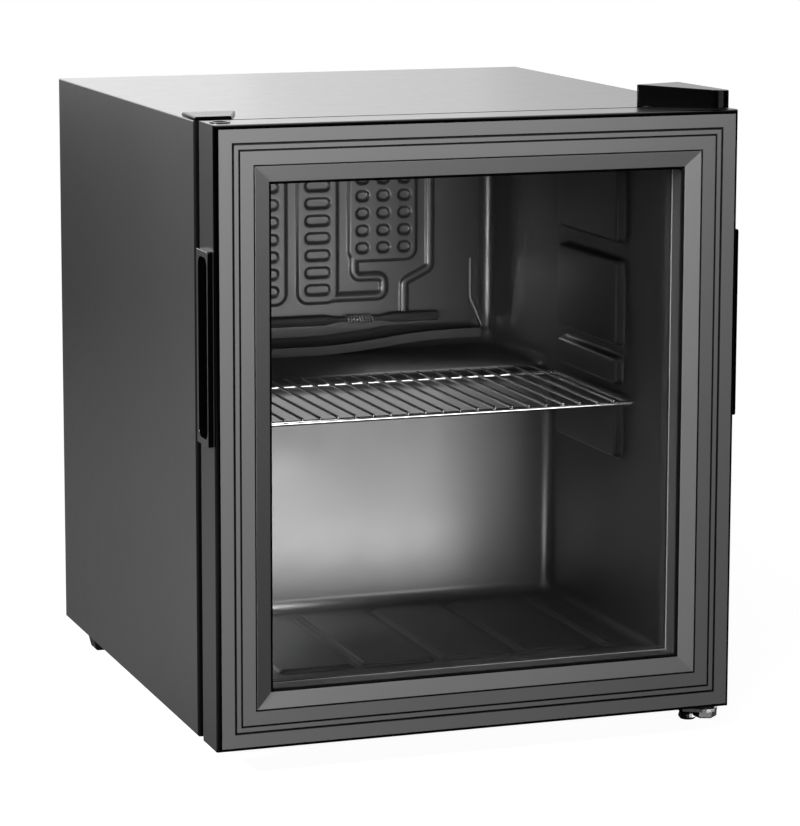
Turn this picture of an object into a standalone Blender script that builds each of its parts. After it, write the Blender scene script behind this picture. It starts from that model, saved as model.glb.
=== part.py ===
"""Small glass door refrigerator, built as separate pieces.

Metres, +Z up. The door faces -Y, x = 0 is the middle, and z = 0 is the floor under the feet.
Depths are measured back from the front face of the door, and heights up from the cabinet bottom.
"""

import math

import bmesh
import bpy
from mathutils import Matrix, Vector

MM = 0.001

# Overall sizes
WIDTH = 430 * MM
DEPTH = 480 * MM
CABINET_HEIGHT = 482.2 * MM
FOOT_HEIGHT = 21 * MM
CLEAR = 0.3 * MM
HALF = WIDTH / 2

# Door: insets run in from its outer edge, depths run back from its front face
DOOR_RISE = 1.1 * MM
DOOR_HEIGHT = CABINET_HEIGHT + DOOR_RISE
DOOR_THICKNESS = 41.4 * MM
DOOR_GAP = 11.3 * MM
CABINET_START = DOOR_THICKNESS + DOOR_GAP
EDGE_CHAMFER = 2.9 * MM
EDGE_DEPTH = 5.3 * MM
FACE_INNER = 30.6 * MM
FACE_FALL = 0.9 * MM
FACE_SHEET = 3.0 * MM
GROOVE_DEPTH = 1.0 * MM
GROOVES = ((14.35 * MM, 1.8 * MM), (19.3 * MM, 1.4 * MM))
BEAD_OUTER = 31.7 * MM
BEAD_INNER = 43.9 * MM
BEAD_FRONT = 2.1 * MM
BEAD_LIP = 4.5 * MM
GLASS_FRONT = 7.0 * MM
GLASS_SHEET = 3.2 * MM
GLASS_INSET = 37.8 * MM
SEAL_INNER = 46.0 * MM
SPACER_INNER = 45.7 * MM
SPACER_DEPTH = 16.1 * MM
LINER_LIP_INNER = 46.0 * MM
FRAME_WALL = 2.5 * MM
FRAME_WEB = 3.0 * MM
FRAME_REAR_LIP = 8.0 * MM
LINER_SHEET = 2.2 * MM
GASKET_OUTER = 12.8 * MM
GASKET_WIDTH = 13.0 * MM
GASKET_WAIST = 2.6 * MM

# Grips let into the two sides of the door
GRIP_BOTTOM = 238 * MM
GRIP_TOP = 386.5 * MM
GRIP_FRONT = 7.0 * MM
GRIP_REAR = DOOR_THICKNESS - 4.8 * MM
GRIP_PROUD = 4.5 * MM
GRIP_SHELL = 1.6 * MM
GRIP_FLANGE = 1.0 * MM
GRIP_ROUNDING = 2.0 * MM
GRIP_SLOT_FRONT = GRIP_FRONT + 12.4 * MM
GRIP_SLOT_REAR = GRIP_REAR - 2.4 * MM
GRIP_SLOT_BOTTOM = GRIP_BOTTOM + 2.4 * MM
GRIP_SLOT_TOP = GRIP_TOP - 5.1 * MM
GRIP_SLOT_DEPTH = 15.5 * MM

# Hinge line, from the middle and from the door's front face
HINGE_X = HALF - 11 * MM
HINGE_DEPTH = 23 * MM
HINGE_PIN_RADIUS = 4.0 * MM
PIN_CLEAR = 0.35 * MM
BUSH_RADIUS = 6.6 * MM
BUSH_FLANGE_RADIUS = 8.0 * MM
BUSH_FLANGE = 0.8 * MM
BUSH_LENGTH = 14 * MM
PIN_REACH = 12 * MM

# Upper hinge
COVER_FRONT_LEFT = (HALF - 65 * MM, CABINET_START - 1.7 * MM)
COVER_BACK = (HALF - 8 * MM, CABINET_START + 35.3 * MM)
COVER_TIP_RADIUS = 11.4 * MM
COVER_RISE = 18.8 * MM
COVER_TIP_FALL = 4.0 * MM
COVER_WALL = 2.0 * MM
COVER_DOOR_CLEAR = 1.7 * MM
BRACKET_SHEET = 2.5 * MM
UPPER_BRACKET_LIFT = 3.3 * MM
BRACKET_PAD_RADIUS = 4.5 * MM
BRACKET_PADS = (
    (HINGE_X - 21 * MM, CABINET_START + 8.3 * MM),
    (HINGE_X - 3 * MM, CABINET_START + 15.3 * MM),
)
PIN_HEAD_RADIUS = 6.5 * MM
PIN_HEAD = 3.0 * MM
SPARE_CAP_THICK = 2.6 * MM
SPARE_CAP_CHAMFER = 1.0 * MM
SPARE_CAP_FRONT = (HALF - 30 * MM, HALF - 0.6 * MM)
SPARE_CAP_BACK = (HALF - 46 * MM, HALF - 3 * MM)
SPARE_CAP_DEPTHS = (CABINET_START + 2.3 * MM, CABINET_START + 46.3 * MM)

# Lower hinge
LOWER_BRACKET_DROP = 4.4 * MM
LOWER_BRACKET_SIDES = (HALF - 31 * MM, HALF - 1 * MM)
LOWER_BRACKET_REAR = CABINET_START + 59.3 * MM
LOWER_BRACKET_BEND = CABINET_START + 11.3 * MM
HEX_ACROSS_FLATS = 17 * MM
HEX_HEIGHT = 5.5 * MM
HEX_TURN = 10

# Cabinet sheets and insulation
SHELL_SHEET = 0.8 * MM
FRONT_FLANGE = 26 * MM
PAN_FLANGE = 26 * MM

# Inner liner: a moulded tub with a step over the compressor
LINER_WALL = 1.8 * MM
LINER_HALF = HALF - 37 * MM
LINER_FLOOR = 33 * MM
LINER_CEILING = CABINET_HEIGHT - 32.2 * MM
LINER_STEP_DEPTH = DEPTH - 180 * MM
LINER_STEP_TOP = 235 * MM
LINER_BACK = DEPTH - 35 * MM
LINER_EDGE_RADIUS = 18 * MM
LINER_CORNER_RADIUS = 20 * MM
LINER_STEP_RADIUS = 15 * MM
EDGE_STEPS = 4
ARC_STEPS = 5

# Floor pads and shelf guides moulded into the liner
PAD_COUNT = 4
PAD_PITCH = LINER_HALF * 0.3876
PAD_WIDTH = PAD_PITCH - 14 * MM
PAD_HEIGHT = 3 * MM
PAD_FRONT = CABINET_START + 44.3 * MM
PAD_BACK = LINER_STEP_DEPTH - 24 * MM
PAD_SLOPE = 3 * MM
SIDE_PAD_INNER = LINER_HALF - 33 * MM
SIDE_PAD_OUTER = LINER_HALF - 20 * MM
GUIDE_FRONT = CABINET_START + 86.3 * MM
GUIDE_BACK = LINER_STEP_DEPTH - 32 * MM
GUIDE_PROUD = 8 * MM
GUIDE_SLOPE = 0.6 * MM
GUIDE_SHARES = ((0.357, 0.4765), (0.506, 0.559), (0.584, 0.755), (0.791, 0.938))

# Wire shelf
SHELF_HALF = LINER_HALF - 4.6 * MM
SHELF_FRONT = CABINET_START + 58.3 * MM
SHELF_BACK = LINER_STEP_DEPTH - 25 * MM
SHELF_TIPS = LINER_STEP_DEPTH - 4 * MM
SHELF_RAIL_RADIUS = 2.1 * MM
SHELF_RAIL_END = 3.0 * MM
SHELF_ROD_RADIUS = 1.7 * MM
SHELF_WIRE_RADIUS = 1.25 * MM
SHELF_WIRES = 22
SHELF_WELD = 0.5 * MM
SHELF_REST = 0.1 * MM

# Roll-bonded evaporator plate. Its pattern is drawn in units that grow with the plate.
HEADER_LIFT = 30.6 * MM
HEADER_HEIGHT = LINER_STEP_TOP + HEADER_LIFT
PLATE_FACE = LINER_BACK - 21 * MM
PLATE_SHEET = 1.4 * MM
PLATE_HALF = LINER_HALF - 22.3 * MM
PLATE_BOTTOM = HEADER_HEIGHT - 7.6 * MM
PLATE_TOP = LINER_CEILING - 10 * MM
PLATE_CORNER = 8 * MM
PLATE_UNIT = PLATE_HALF / 155.7
BLISTER = 2.1 * MM
BLISTER_SLOPE = 1.2 * MM
PATTERN_MIDDLE = -20.25 * PLATE_UNIT
PATTERN_TOP = PLATE_TOP - 8 * MM
LONG_FIELD = (5.25 * PLATE_UNIT, 42.65 * PLATE_UNIT)
LONG_FIELD_BOTTOM = HEADER_HEIGHT + 15.4 * MM
WIDE_FIELD = (53.15 * PLATE_UNIT, 117.15 * PLATE_UNIT)
WIDE_FIELD_BOTTOM = HEADER_HEIGHT + 51.4 * MM
FIELD_CORNER = 10 * MM
OVAL_SHARE = 0.53
LONG_OVAL = (23.95 * PLATE_UNIT, 22.5 * PLATE_UNIT)
LONG_OVAL_ENDS = (LONG_FIELD_BOTTOM + 12 * MM, PATTERN_TOP - 15 * MM)
LONG_OVAL_COUNT = 9
SMALL_OVAL_REACHES = (66.15 * PLATE_UNIT, 85.75 * PLATE_UNIT, 105.65 * PLATE_UNIT)
SMALL_OVAL_LENGTH = 11 * PLATE_UNIT
SMALL_OVAL_ENDS = (WIDE_FIELD_BOTTOM + 11.9 * MM, PATTERN_TOP - 10.1 * MM)
SMALL_OVAL_COUNT = 7
OVAL_STEPS = 4
CHANNEL_RADIUS = 4.3 * MM
CHANNEL_TURN = (86.5 * PLATE_UNIT, 58.3 * PLATE_UNIT)
CHANNEL_RISE = 17.4 * MM
RIGHT_CHANNEL_X = 110 * PLATE_UNIT
JOGGED_CHANNEL_X = 85.6 * PLATE_UNIT
JOG_TOP = HEADER_HEIGHT + 43.4 * MM
JOG_BOTTOM = HEADER_HEIGHT + 31.4 * MM
STANDOFF_RADIUS = 7 * MM
STANDOFF_X = PLATE_HALF - 13.7 * MM
STANDOFF_HEIGHTS = (HEADER_HEIGHT + 16.4 * MM, PLATE_TOP - 20 * MM)

# Tubes at the foot of the evaporator
HEADER_RADIUS = 4.4 * MM
HEADER_NECK = 2.2 * MM
HEADER_RIGHT = PLATE_HALF - 39.7 * MM
HEADER_LEFT = -PLATE_HALF - 7.8 * MM
NECK_ENDS = (22 * MM, 61 * MM)
NECK_TAPER = 12 * MM
WRAP_ENDS = (29.4 * MM, 54.2 * MM)
WRAP_TURNS = 9
WRAP_WIRE = 0.9 * MM
SENSOR_RADIUS = 1.5 * MM
SENSOR_SIDES = (PLATE_HALF - 7.7 * MM, PLATE_HALF + 5.3 * MM)
SENSOR_HEIGHTS = (HEADER_HEIGHT + 50.4 * MM, HEADER_HEIGHT + 14.4 * MM, HEADER_HEIGHT - 15.6 * MM)
GUTTER_FRONT = LINER_BACK - 31.5 * MM
GUTTER_HEIGHT = 8 * MM
GUTTER_WALL = 1.2 * MM
GUTTER_HALF = LINER_HALF - 22 * MM
GUTTER_RISE = 9.5 * MM
GUTTER_RISE_ENDS = (0 * MM, 125 * PLATE_UNIT)

# Compressor space in the lower rear
SPACE_INSULATION = 29 * MM
SPACE_TOP = LINER_STEP_TOP - LINER_WALL - SPACE_INSULATION
DRAIN_X = 36 * MM - GUTTER_HALF
DRAIN_DEPTH = LINER_BACK - 25.5 * MM
DRAIN_RADIUS = 5.5 * MM
DRAIN_BORE = 3.6 * MM
DRAIN_DROP = 2 * MM
DRAIN_TIP = 8 * MM
COMPRESSOR_X = DRAIN_X + 45 * MM
COMPRESSOR_DEPTH = DEPTH - 72 * MM
COMPRESSOR_RADIUS = 53 * MM
COMPRESSOR_STRETCH = 1.22
COMPRESSOR_HEIGHT = 136 * MM
COMPRESSOR_PLATE = (178 * MM, 96 * MM, 2.5 * MM)
GROMMET_X = 76 * MM
GROMMET_Y = 36 * MM
GROMMET_HEIGHT = 12 * MM
GROMMET_NECK = 5.5 * MM
GROMMET_FLANGE = 9.5 * MM
STUB_RADIUS = 4.2 * MM
STUB_REACH = 9 * MM
STUB_HEIGHTS = (46 * MM, 92 * MM)
TERMINAL_BOX = (26 * MM, 46 * MM, 52 * MM)
TERMINAL_BOTTOM = 60 * MM
TRAY_SIZE = (120 * MM, 96 * MM, 22 * MM)
TRAY_WALL = 1.6 * MM
TUBE_RADIUS = 2.4 * MM
COIL_RUN_COUNT = 6
COIL_PITCH = 30 * MM
COIL_DEPTHS = (CABINET_START + 97.3 * MM, DEPTH - 72 * MM)
COIL_RISER = DEPTH - 125 * MM
COIL_RETURN = DEPTH - 48 * MM
COIL_RETURN_LEVEL = SPACE_TOP - 38.2 * MM
COIL_LOWEST = SPACE_TOP + 21.8 * MM
POCKET_DEPTH = 6.4 * MM
POCKET_MARGIN = 10 * MM
DRYER_X = HALF - 65 * MM
DRYER_DEPTH = DEPTH - 108 * MM
DRYER_RADIUS = 9 * MM
DRYER_LENGTH = 92 * MM
DRYER_BOTTOM = COIL_RETURN_LEVEL - 22 * MM - DRYER_LENGTH
THERMOSTAT_X = HALF - 110 * MM
THERMOSTAT_SIZE = (66 * MM, 30 * MM, 46 * MM)
KNOB_RADIUS = 15 * MM
KNOB_DEPTH = 12 * MM
KNOB_SHAFT = 3.0 * MM

# Feet
REAR_FOOT_X = HALF - 23 * MM
REAR_FOOT_DEPTH = DEPTH - 46 * MM
REAR_FOOT_TOP = 28 * MM
REAR_FOOT_BOTTOM = 19 * MM
RIGHT_FOOT = (HINGE_X - 3 * MM, CABINET_START - 2.7 * MM)
LEFT_FOOT = (35 * MM - HALF, CABINET_START + 39.3 * MM)
FOOT_RADIUS = 7.6 * MM
FOOT_STUD = 4.0 * MM
FOOT_PAD_TOP = 6.4 * MM
FOOT_INSERT_RADIUS = 14.5 * MM
FOOT_INSERT_DROP = 14.3 * MM

# Places worked out from the sizes above
FRONT = -DEPTH / 2
REAR = DEPTH / 2
BASE = FOOT_HEIGHT
TOP = BASE + CABINET_HEIGHT
DOOR_TOP = BASE + DOOR_HEIGHT
CABINET_FRONT = FRONT + CABINET_START
INNER_HALF = HALF - SHELL_SHEET - CLEAR
HINGE_Y = FRONT + HINGE_DEPTH
GLASS_REAR = GLASS_FRONT + GLASS_SHEET
SPACER_FRONT = GLASS_REAR + CLEAR
SPACER_REAR = SPACER_FRONT + SPACER_DEPTH
INNER_GLASS_FRONT = SPACER_REAR + CLEAR
INNER_GLASS_REAR = INNER_GLASS_FRONT + GLASS_SHEET
SPACE_FRONT = LINER_STEP_DEPTH + LINER_WALL + SPACE_INSULATION
GUIDE_BANDS = tuple(
    tuple(LINER_FLOOR + share * (LINER_CEILING - LINER_FLOOR) for share in band)
    for band in GUIDE_SHARES
)
SHELF_ROD_Z = GUIDE_BANDS[0][1] + SHELF_ROD_RADIUS + SHELF_REST
SHELF_SIDE = SHELF_HALF - SHELF_ROD_RADIUS
SHELF_PITCH = 2 * SHELF_SIDE / (SHELF_WIRES + 1)

GREY = (0.105, 0.105, 0.108, 1.0)
BLACK = (0.012, 0.012, 0.013, 1.0)
STEEL = (0.62, 0.62, 0.63, 1.0)


def scene_collection(name):
    """Return a new collection linked to the scene."""
    collection = bpy.data.collections.new(name)
    bpy.context.scene.collection.children.link(collection)
    return collection


for old in list(bpy.data.objects):
    bpy.data.objects.remove(old, do_unlink=True)
PARTS = scene_collection("glass_door_fridge")
CUTTERS = scene_collection("cutters")


def finish(name, colour, roughness, metallic=0.0, alpha=1.0):
    """Make a material with a Principled surface."""
    material = bpy.data.materials.new(name)
    material.use_nodes = True
    shader = material.node_tree.nodes["Principled BSDF"]
    shader.inputs["Base Color"].default_value = colour
    shader.inputs["Roughness"].default_value = roughness
    shader.inputs["Metallic"].default_value = metallic
    shader.inputs["Alpha"].default_value = alpha
    material.diffuse_color = colour
    return material


MATERIALS = {
    "shell": finish("painted_shell", GREY, 0.35),
    "face": finish("door_face", (0.19, 0.19, 0.19, 1.0), 0.42, 0.2),
    "gloss": finish("black_gloss", BLACK, 0.08),
    "liner": finish("liner_plastic", (0.02, 0.02, 0.021, 1.0), 0.2),
    "rubber": finish("black_rubber", (0.01, 0.01, 0.01, 1.0), 0.7),
    "plastic": finish("matte_plastic", (0.02, 0.02, 0.02, 1.0), 0.5),
    "glass": finish("clear_glass", (0.9, 0.93, 0.92, 1.0), 0.02, 0.0, 0.25),
    "spacer": finish("spacer_metal", (0.2, 0.2, 0.2, 1.0), 0.4, 0.6),
    "chrome": finish("chrome_wire", (0.8, 0.8, 0.8, 1.0), 0.12, 1.0),
    "zinc": finish("zinc_plate", STEEL, 0.25, 1.0),
    "evaporator": finish("evaporator_coat", (0.09, 0.09, 0.095, 1.0), 0.35, 0.5),
    "copper": finish("copper_tube", (0.72, 0.38, 0.22, 1.0), 0.3, 1.0),
    "black_steel": finish("black_steel", (0.015, 0.015, 0.015, 1.0), 0.4),
    "foam": finish("foam", (0.75, 0.66, 0.42, 1.0), 0.9),
    "galvanised": finish("galvanised_sheet", (0.5, 0.51, 0.52, 1.0), 0.45, 0.9),
}


# Meshes


def mesh_object(name, bm, slot, collection=None):
    """Close off a bmesh as a named object in the parts or cutters collection."""
    bmesh.ops.recalc_face_normals(bm, faces=bm.faces)
    mesh = bpy.data.meshes.new(name)
    bm.to_mesh(mesh)
    bm.free()
    obj = bpy.data.objects.new(name, mesh)
    (collection or PARTS).objects.link(obj)
    if slot:
        mesh.materials.append(MATERIALS[slot])
    return obj


def place(u, depth, height):
    """Turn a place on the fridge into model coordinates."""
    return Vector((u, FRONT + depth, BASE + height))


def add_box(bm, low, high):
    """Add a box between two opposite corners and return its corners."""
    size = [b - a for a, b in zip(low, high)]
    middle = [(a + b) / 2 for a, b in zip(low, high)]
    matrix = Matrix.Translation(middle) @ Matrix.Diagonal((*size, 1.0))
    return bmesh.ops.create_cube(bm, size=1.0, matrix=matrix)["verts"]


def add_tapered_box(bm, low, high, direction, slope):
    """Add a box whose face towards a direction is smaller all round by the slope."""
    verts = add_box(bm, low, high)
    middle = (Vector(low) + Vector(high)) / 2
    axis = max(range(3), key=lambda k: abs(direction[k]))
    for vert in verts:
        if (vert.co[axis] - middle[axis]) * direction[axis] > 0:
            for k in range(3):
                if k != axis:
                    vert.co[k] -= math.copysign(slope, vert.co[k] - middle[k])


def add_cylinder(bm, start, end, radius, segments, end_radius=None):
    """Add a closed cylinder or cone between two points."""
    start, end = Vector(start), Vector(end)
    turn = Vector((0, 0, 1)).rotation_difference(end - start).to_matrix().to_4x4()
    bmesh.ops.create_cone(
        bm,
        cap_ends=True,
        segments=segments,
        radius1=radius,
        radius2=radius if end_radius is None else end_radius,
        depth=(end - start).length,
        matrix=Matrix.Translation((start + end) / 2) @ turn,
    )


def add_prism(bm, outline, move):
    """Add an outline of points as one face and draw it out along a vector."""
    face = bm.faces.new([bm.verts.new(point) for point in outline])
    drawn = bmesh.ops.extrude_face_region(bm, geom=[face])["geom"]
    verts = [item for item in drawn if isinstance(item, bmesh.types.BMVert)]
    bmesh.ops.translate(bm, verts=verts, vec=move)
    return verts


def add_loft(bm, loops, cap_ends):
    """Join a row of loops, each with the same number of points, into a skin."""
    rows = [[bm.verts.new(point) for point in loop] for loop in loops]
    count = len(rows[0])
    pairs = list(zip(rows, rows[1:]))
    if not cap_ends:
        pairs.append((rows[-1], rows[0]))
    for row, following in pairs:
        for k in range(count):
            n = (k + 1) % count
            bm.faces.new((row[k], row[n], following[n], following[k]))
    if cap_ends:
        bm.faces.new(rows[0])
        bm.faces.new(list(reversed(rows[-1])))


def add_mitred_ring(bm, half, bottom, top, section):
    """Carry a section of (inset, depth) points round a rectangle with mitred corners."""
    corners = ((-1, 1), (1, 1), (1, -1), (-1, -1))
    loops = []
    for side, rise in corners:
        edge = bottom if rise > 0 else top
        loop = [
            (side * (half - inset), FRONT + depth, edge + rise * inset)
            for inset, depth in section
        ]
        loops.append(loop)
    add_loft(bm, loops, cap_ends=False)


def arc(centre, radius, start, end, steps):
    """Points along an arc in a plane, angles in degrees."""
    points = []
    for k in range(steps + 1):
        angle = math.radians(start + (end - start) * k / steps)
        points.append((centre[0] + radius * math.cos(angle), centre[1] + radius * math.sin(angle)))
    return points


def rounded_corners(points, radius, steps=3):
    """Replace the inner corners of a path in space with arcs that are tangent to it."""
    points = [Vector(point) for point in points]
    path = [points[0]]
    for before, corner, after in zip(points, points[1:], points[2:]):
        back = (before - corner).normalized()
        ahead = (after - corner).normalized()
        half_angle = back.angle(ahead) / 2
        reach = radius / math.tan(half_angle)
        middle = corner + (back + ahead).normalized() * radius / math.sin(half_angle)
        start = corner + back * reach - middle
        turn = start.rotation_difference(corner + ahead * reach - middle)
        for k in range(steps + 1):
            step = turn.copy()
            step.angle = turn.angle * k / steps
            path.append(middle + step @ start)
    path.append(points[-1])
    return path


def tube(name, path, radius, slot, resolution=2, shares=None, cyclic=False):
    """A round tube along a path. Shares scale its radius at each point."""
    curve = bpy.data.curves.new(name, "CURVE")
    curve.dimensions = "3D"
    curve.bevel_depth = radius
    curve.bevel_resolution = resolution
    curve.use_fill_caps = True
    spline = curve.splines.new("POLY")
    spline.points.add(len(path) - 1)
    for k, point in enumerate(path):
        spline.points[k].co = (*point, 1.0)
        spline.points[k].radius = shares[k] if shares else 1.0
    spline.use_cyclic_u = cyclic
    if slot:
        curve.materials.append(MATERIALS[slot])
    obj = bpy.data.objects.new(name, curve)
    PARTS.objects.link(obj)
    return obj


def as_mesh(obj, collection=None):
    """Turn a curve object into a closed mesh object of the same name."""
    bpy.context.view_layer.update()
    graph = bpy.context.evaluated_depsgraph_get()
    mesh = bpy.data.meshes.new_from_object(obj.evaluated_get(graph))
    name = obj.name
    matrix = obj.matrix_world.copy()
    bpy.data.objects.remove(obj, do_unlink=True)
    bm = bmesh.new()
    bm.from_mesh(mesh)
    bmesh.ops.remove_doubles(bm, verts=bm.verts, dist=0.01 * MM)
    bmesh.ops.recalc_face_normals(bm, faces=bm.faces)
    bm.to_mesh(mesh)
    bm.free()
    made = bpy.data.objects.new(name, mesh)
    made.matrix_world = matrix
    (collection or PARTS).objects.link(made)
    return made


def turned(name, profile, origin, slot, steps=24, axis=(0, 0, 1), closed=False):
    """A turned piece: (radius, height) points, top to bottom, round an axis through origin."""
    mesh = bpy.data.meshes.new(name)
    edges = [(k, k + 1) for k in range(len(profile) - 1)]
    if closed:
        edges.append((len(profile) - 1, 0))
    mesh.from_pydata([(radius, 0, height) for radius, height in profile], edges, [])
    mesh.materials.append(MATERIALS[slot])
    obj = bpy.data.objects.new(name, mesh)
    PARTS.objects.link(obj)
    obj.location = origin
    obj.rotation_mode = "QUATERNION"
    obj.rotation_quaternion = Vector((0, 0, 1)).rotation_difference(Vector(axis))
    screw = obj.modifiers.new("turn", "SCREW")
    screw.steps = steps
    screw.render_steps = steps
    screw.use_merge_vertices = True
    screw.merge_threshold = 0.01 * MM
    screw.use_smooth_shade = True
    return obj


def cutter(name, bm):
    """Keep a bmesh as a wire cutter that the build leaves out."""
    obj = mesh_object(name, bm, None, CUTTERS)
    as_guide(obj)
    return obj


def as_guide(obj):
    """Show an object as wire and keep it out of renders."""
    obj.display_type = "WIRE"
    obj.hide_render = True


def combine(obj, operation, other):
    """Cut or join another object with an exact Boolean."""
    modifier = obj.modifiers.new(operation.lower(), "BOOLEAN")
    modifier.operation = operation
    modifier.object = other
    return modifier


def cut_round(obj, start, end, radius, segments=20):
    """Drill a round hole from start to end."""
    bm = bmesh.new()
    add_cylinder(bm, start, end, radius, segments)
    combine(obj, "DIFFERENCE", cutter(obj.name + "_hole", bm))


def cut_box(obj, low, high):
    """Cut a box between two corners out of an object."""
    bm = bmesh.new()
    add_box(bm, low, high)
    combine(obj, "DIFFERENCE", cutter(obj.name + "_notch", bm))


def soften(obj, width, segments=1):
    """Round the sharp edges of an object."""
    bevel = obj.modifiers.new("rounding", "BEVEL")
    bevel.width = width
    bevel.segments = segments
    bevel.limit_method = "ANGLE"
    bevel.angle_limit = math.radians(40)
    return bevel


# Liner tub


def liner_section(inset):
    """The tub's open side outline, front bottom to front top, moved in by an inset."""
    floor = LINER_FLOOR + inset
    step = LINER_STEP_DEPTH - inset
    ledge = LINER_STEP_TOP + inset
    back = LINER_BACK - inset
    ceiling = LINER_CEILING - inset
    round_in = LINER_CORNER_RADIUS - inset
    round_out = LINER_STEP_RADIUS + inset
    points = []
    points += arc((step - round_in, floor + round_in), round_in, -90, 0, ARC_STEPS)
    points += arc((step + round_out, ledge - round_out), round_out, 180, 90, ARC_STEPS)
    points += arc((back - round_in, ledge + round_in), round_in, -90, 0, ARC_STEPS)
    points += arc((back - round_in, ceiling - round_in), round_in, 0, 90, ARC_STEPS)
    return points


def add_liner_volume(bm, inset, front_depth):
    """The tub's space as a closed body with rounded edges, grown by a negative inset."""
    radius = LINER_EDGE_RADIUS - inset
    stations = []
    for k in range(EDGE_STEPS + 1):
        angle = math.radians(90 * k / EDGE_STEPS)
        x = LINER_HALF - inset - radius * (1 - math.cos(angle))
        stations.append((x, inset + radius * (1 - math.sin(angle))))
    both = [(-x, i) for x, i in stations] + [(x, i) for x, i in reversed(stations)]
    loops = []
    for x, station_inset in both:
        points = liner_section(station_inset)
        floor = LINER_FLOOR + station_inset
        ceiling = LINER_CEILING - station_inset
        outline = [(front_depth, floor)] + points + [(front_depth, ceiling)]
        loops.append([place(x, depth, height) for depth, height in outline])
    add_loft(bm, loops, cap_ends=True)


def liner_flange_box(grow):
    """The liner's front flange as two opposite corners."""
    low = (
        -(HALF - FRONT_FLANGE - CLEAR) - grow,
        CABINET_FRONT - grow,
        BASE + FRONT_FLANGE + CLEAR - grow,
    )
    high = (
        HALF - FRONT_FLANGE - CLEAR + grow,
        CABINET_FRONT + LINER_WALL + grow,
        TOP - FRONT_FLANGE - CLEAR + grow,
    )
    return low, high


def inner_liner():
    """The moulded tub with its flange, floor pads and shelf guides."""
    bm = bmesh.new()
    add_liner_volume(bm, -LINER_WALL, CABINET_START + LINER_WALL / 2)
    tub = mesh_object("inner_liner", bm, "liner")
    bm = bmesh.new()
    add_box(bm, *liner_flange_box(0))
    combine(tub, "UNION", cutter("liner_flange", bm))
    bm = bmesh.new()
    add_liner_volume(bm, 0, CABINET_START - DOOR_GAP)
    combine(tub, "DIFFERENCE", cutter("liner_space", bm))
    bm = bmesh.new()
    floor_root = LINER_FLOOR - LINER_WALL / 2
    floor_top = LINER_FLOOR + PAD_HEIGHT
    for k in range(PAD_COUNT):
        middle = (k - (PAD_COUNT - 1) / 2) * PAD_PITCH
        low = place(middle - PAD_WIDTH / 2, PAD_FRONT, floor_root)
        high = place(middle + PAD_WIDTH / 2, PAD_BACK, floor_top)
        add_tapered_box(bm, low, high, (0, 0, 1), PAD_SLOPE)
    for side in (-1, 1):
        xs = sorted((side * SIDE_PAD_INNER, side * SIDE_PAD_OUTER))
        low = place(xs[0], PAD_FRONT, floor_root)
        high = place(xs[1], PAD_BACK, floor_top)
        add_tapered_box(bm, low, high, (0, 0, 1), PAD_SLOPE)
        wall_root = side * (LINER_HALF + LINER_WALL / 2)
        wall_face = side * (LINER_HALF - GUIDE_PROUD)
        xs = sorted((wall_root, wall_face))
        for bottom, top in GUIDE_BANDS:
            low = place(xs[0], GUIDE_FRONT, bottom)
            high = place(xs[1], GUIDE_BACK, top)
            add_tapered_box(bm, low, high, (-side, 0, 0), GUIDE_SLOPE)
    combine(tub, "UNION", cutter("liner_pads", bm))
    ledge = place(DRAIN_X, DRAIN_DEPTH, LINER_STEP_TOP)
    reach = Vector((0, 0, 5 * MM))
    cut_round(tub, ledge - reach, ledge + reach, DRAIN_RADIUS + CLEAR)


# Cabinet


def outer_shell():
    """Sides and top as one folded sheet with a flange round the front."""
    front = CABINET_START
    section = (
        (0, front),
        (FRONT_FLANGE, front),
        (FRONT_FLANGE, front + SHELL_SHEET),
        (SHELL_SHEET, front + SHELL_SHEET),
        (SHELL_SHEET, DEPTH),
        (0, DEPTH),
    )
    loops = []
    for side, rise, edge in ((-1, 0, BASE), (-1, 1, TOP), (1, 1, TOP), (1, 0, BASE)):
        loops.append([(side * (HALF - d), FRONT + y, edge - rise * d) for d, y in section])
    bm = bmesh.new()
    add_loft(bm, loops, cap_ends=True)
    shell = mesh_object("outer_shell", bm, "shell")
    middle = HALF - FRONT_FLANGE / 2
    rail = bmesh.new()
    add_box(
        rail,
        (-middle, CABINET_FRONT, BASE),
        (middle, CABINET_FRONT + SHELL_SHEET, BASE + FRONT_FLANGE),
    )
    combine(shell, "UNION", cutter("front_rail", rail))


def base_pan():
    """Folded tray that closes the bottom, with flanges up its front and sides."""
    half = INNER_HALF
    low = (-half, CABINET_FRONT + SHELL_SHEET + CLEAR, BASE)
    high = (half, REAR, BASE + PAN_FLANGE)
    bm = bmesh.new()
    add_box(bm, low, high)
    upper = low[2] + PAN_FLANGE / 2
    inner = low[1] + PAN_FLANGE / 2
    top = [f for f in bm.faces if all(v.co.z > upper for v in f.verts)]
    rear = [f for f in bm.faces if all(v.co.y > inner for v in f.verts)]
    bmesh.ops.delete(bm, geom=top + rear, context="FACES")
    pan = mesh_object("base_pan", bm, "galvanised")
    sheet = pan.modifiers.new("sheet", "SOLIDIFY")
    sheet.thickness = SHELL_SHEET
    sheet.offset = -1
    sheet.use_even_offset = True
    foot_x, foot_depth = LEFT_FOOT
    hole = place(foot_x, foot_depth, 0)
    reach = Vector((0, 0, FOOT_STUD * 2))
    cut_round(pan, hole - reach, hole + reach, FOOT_STUD + CLEAR, 16)


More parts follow.
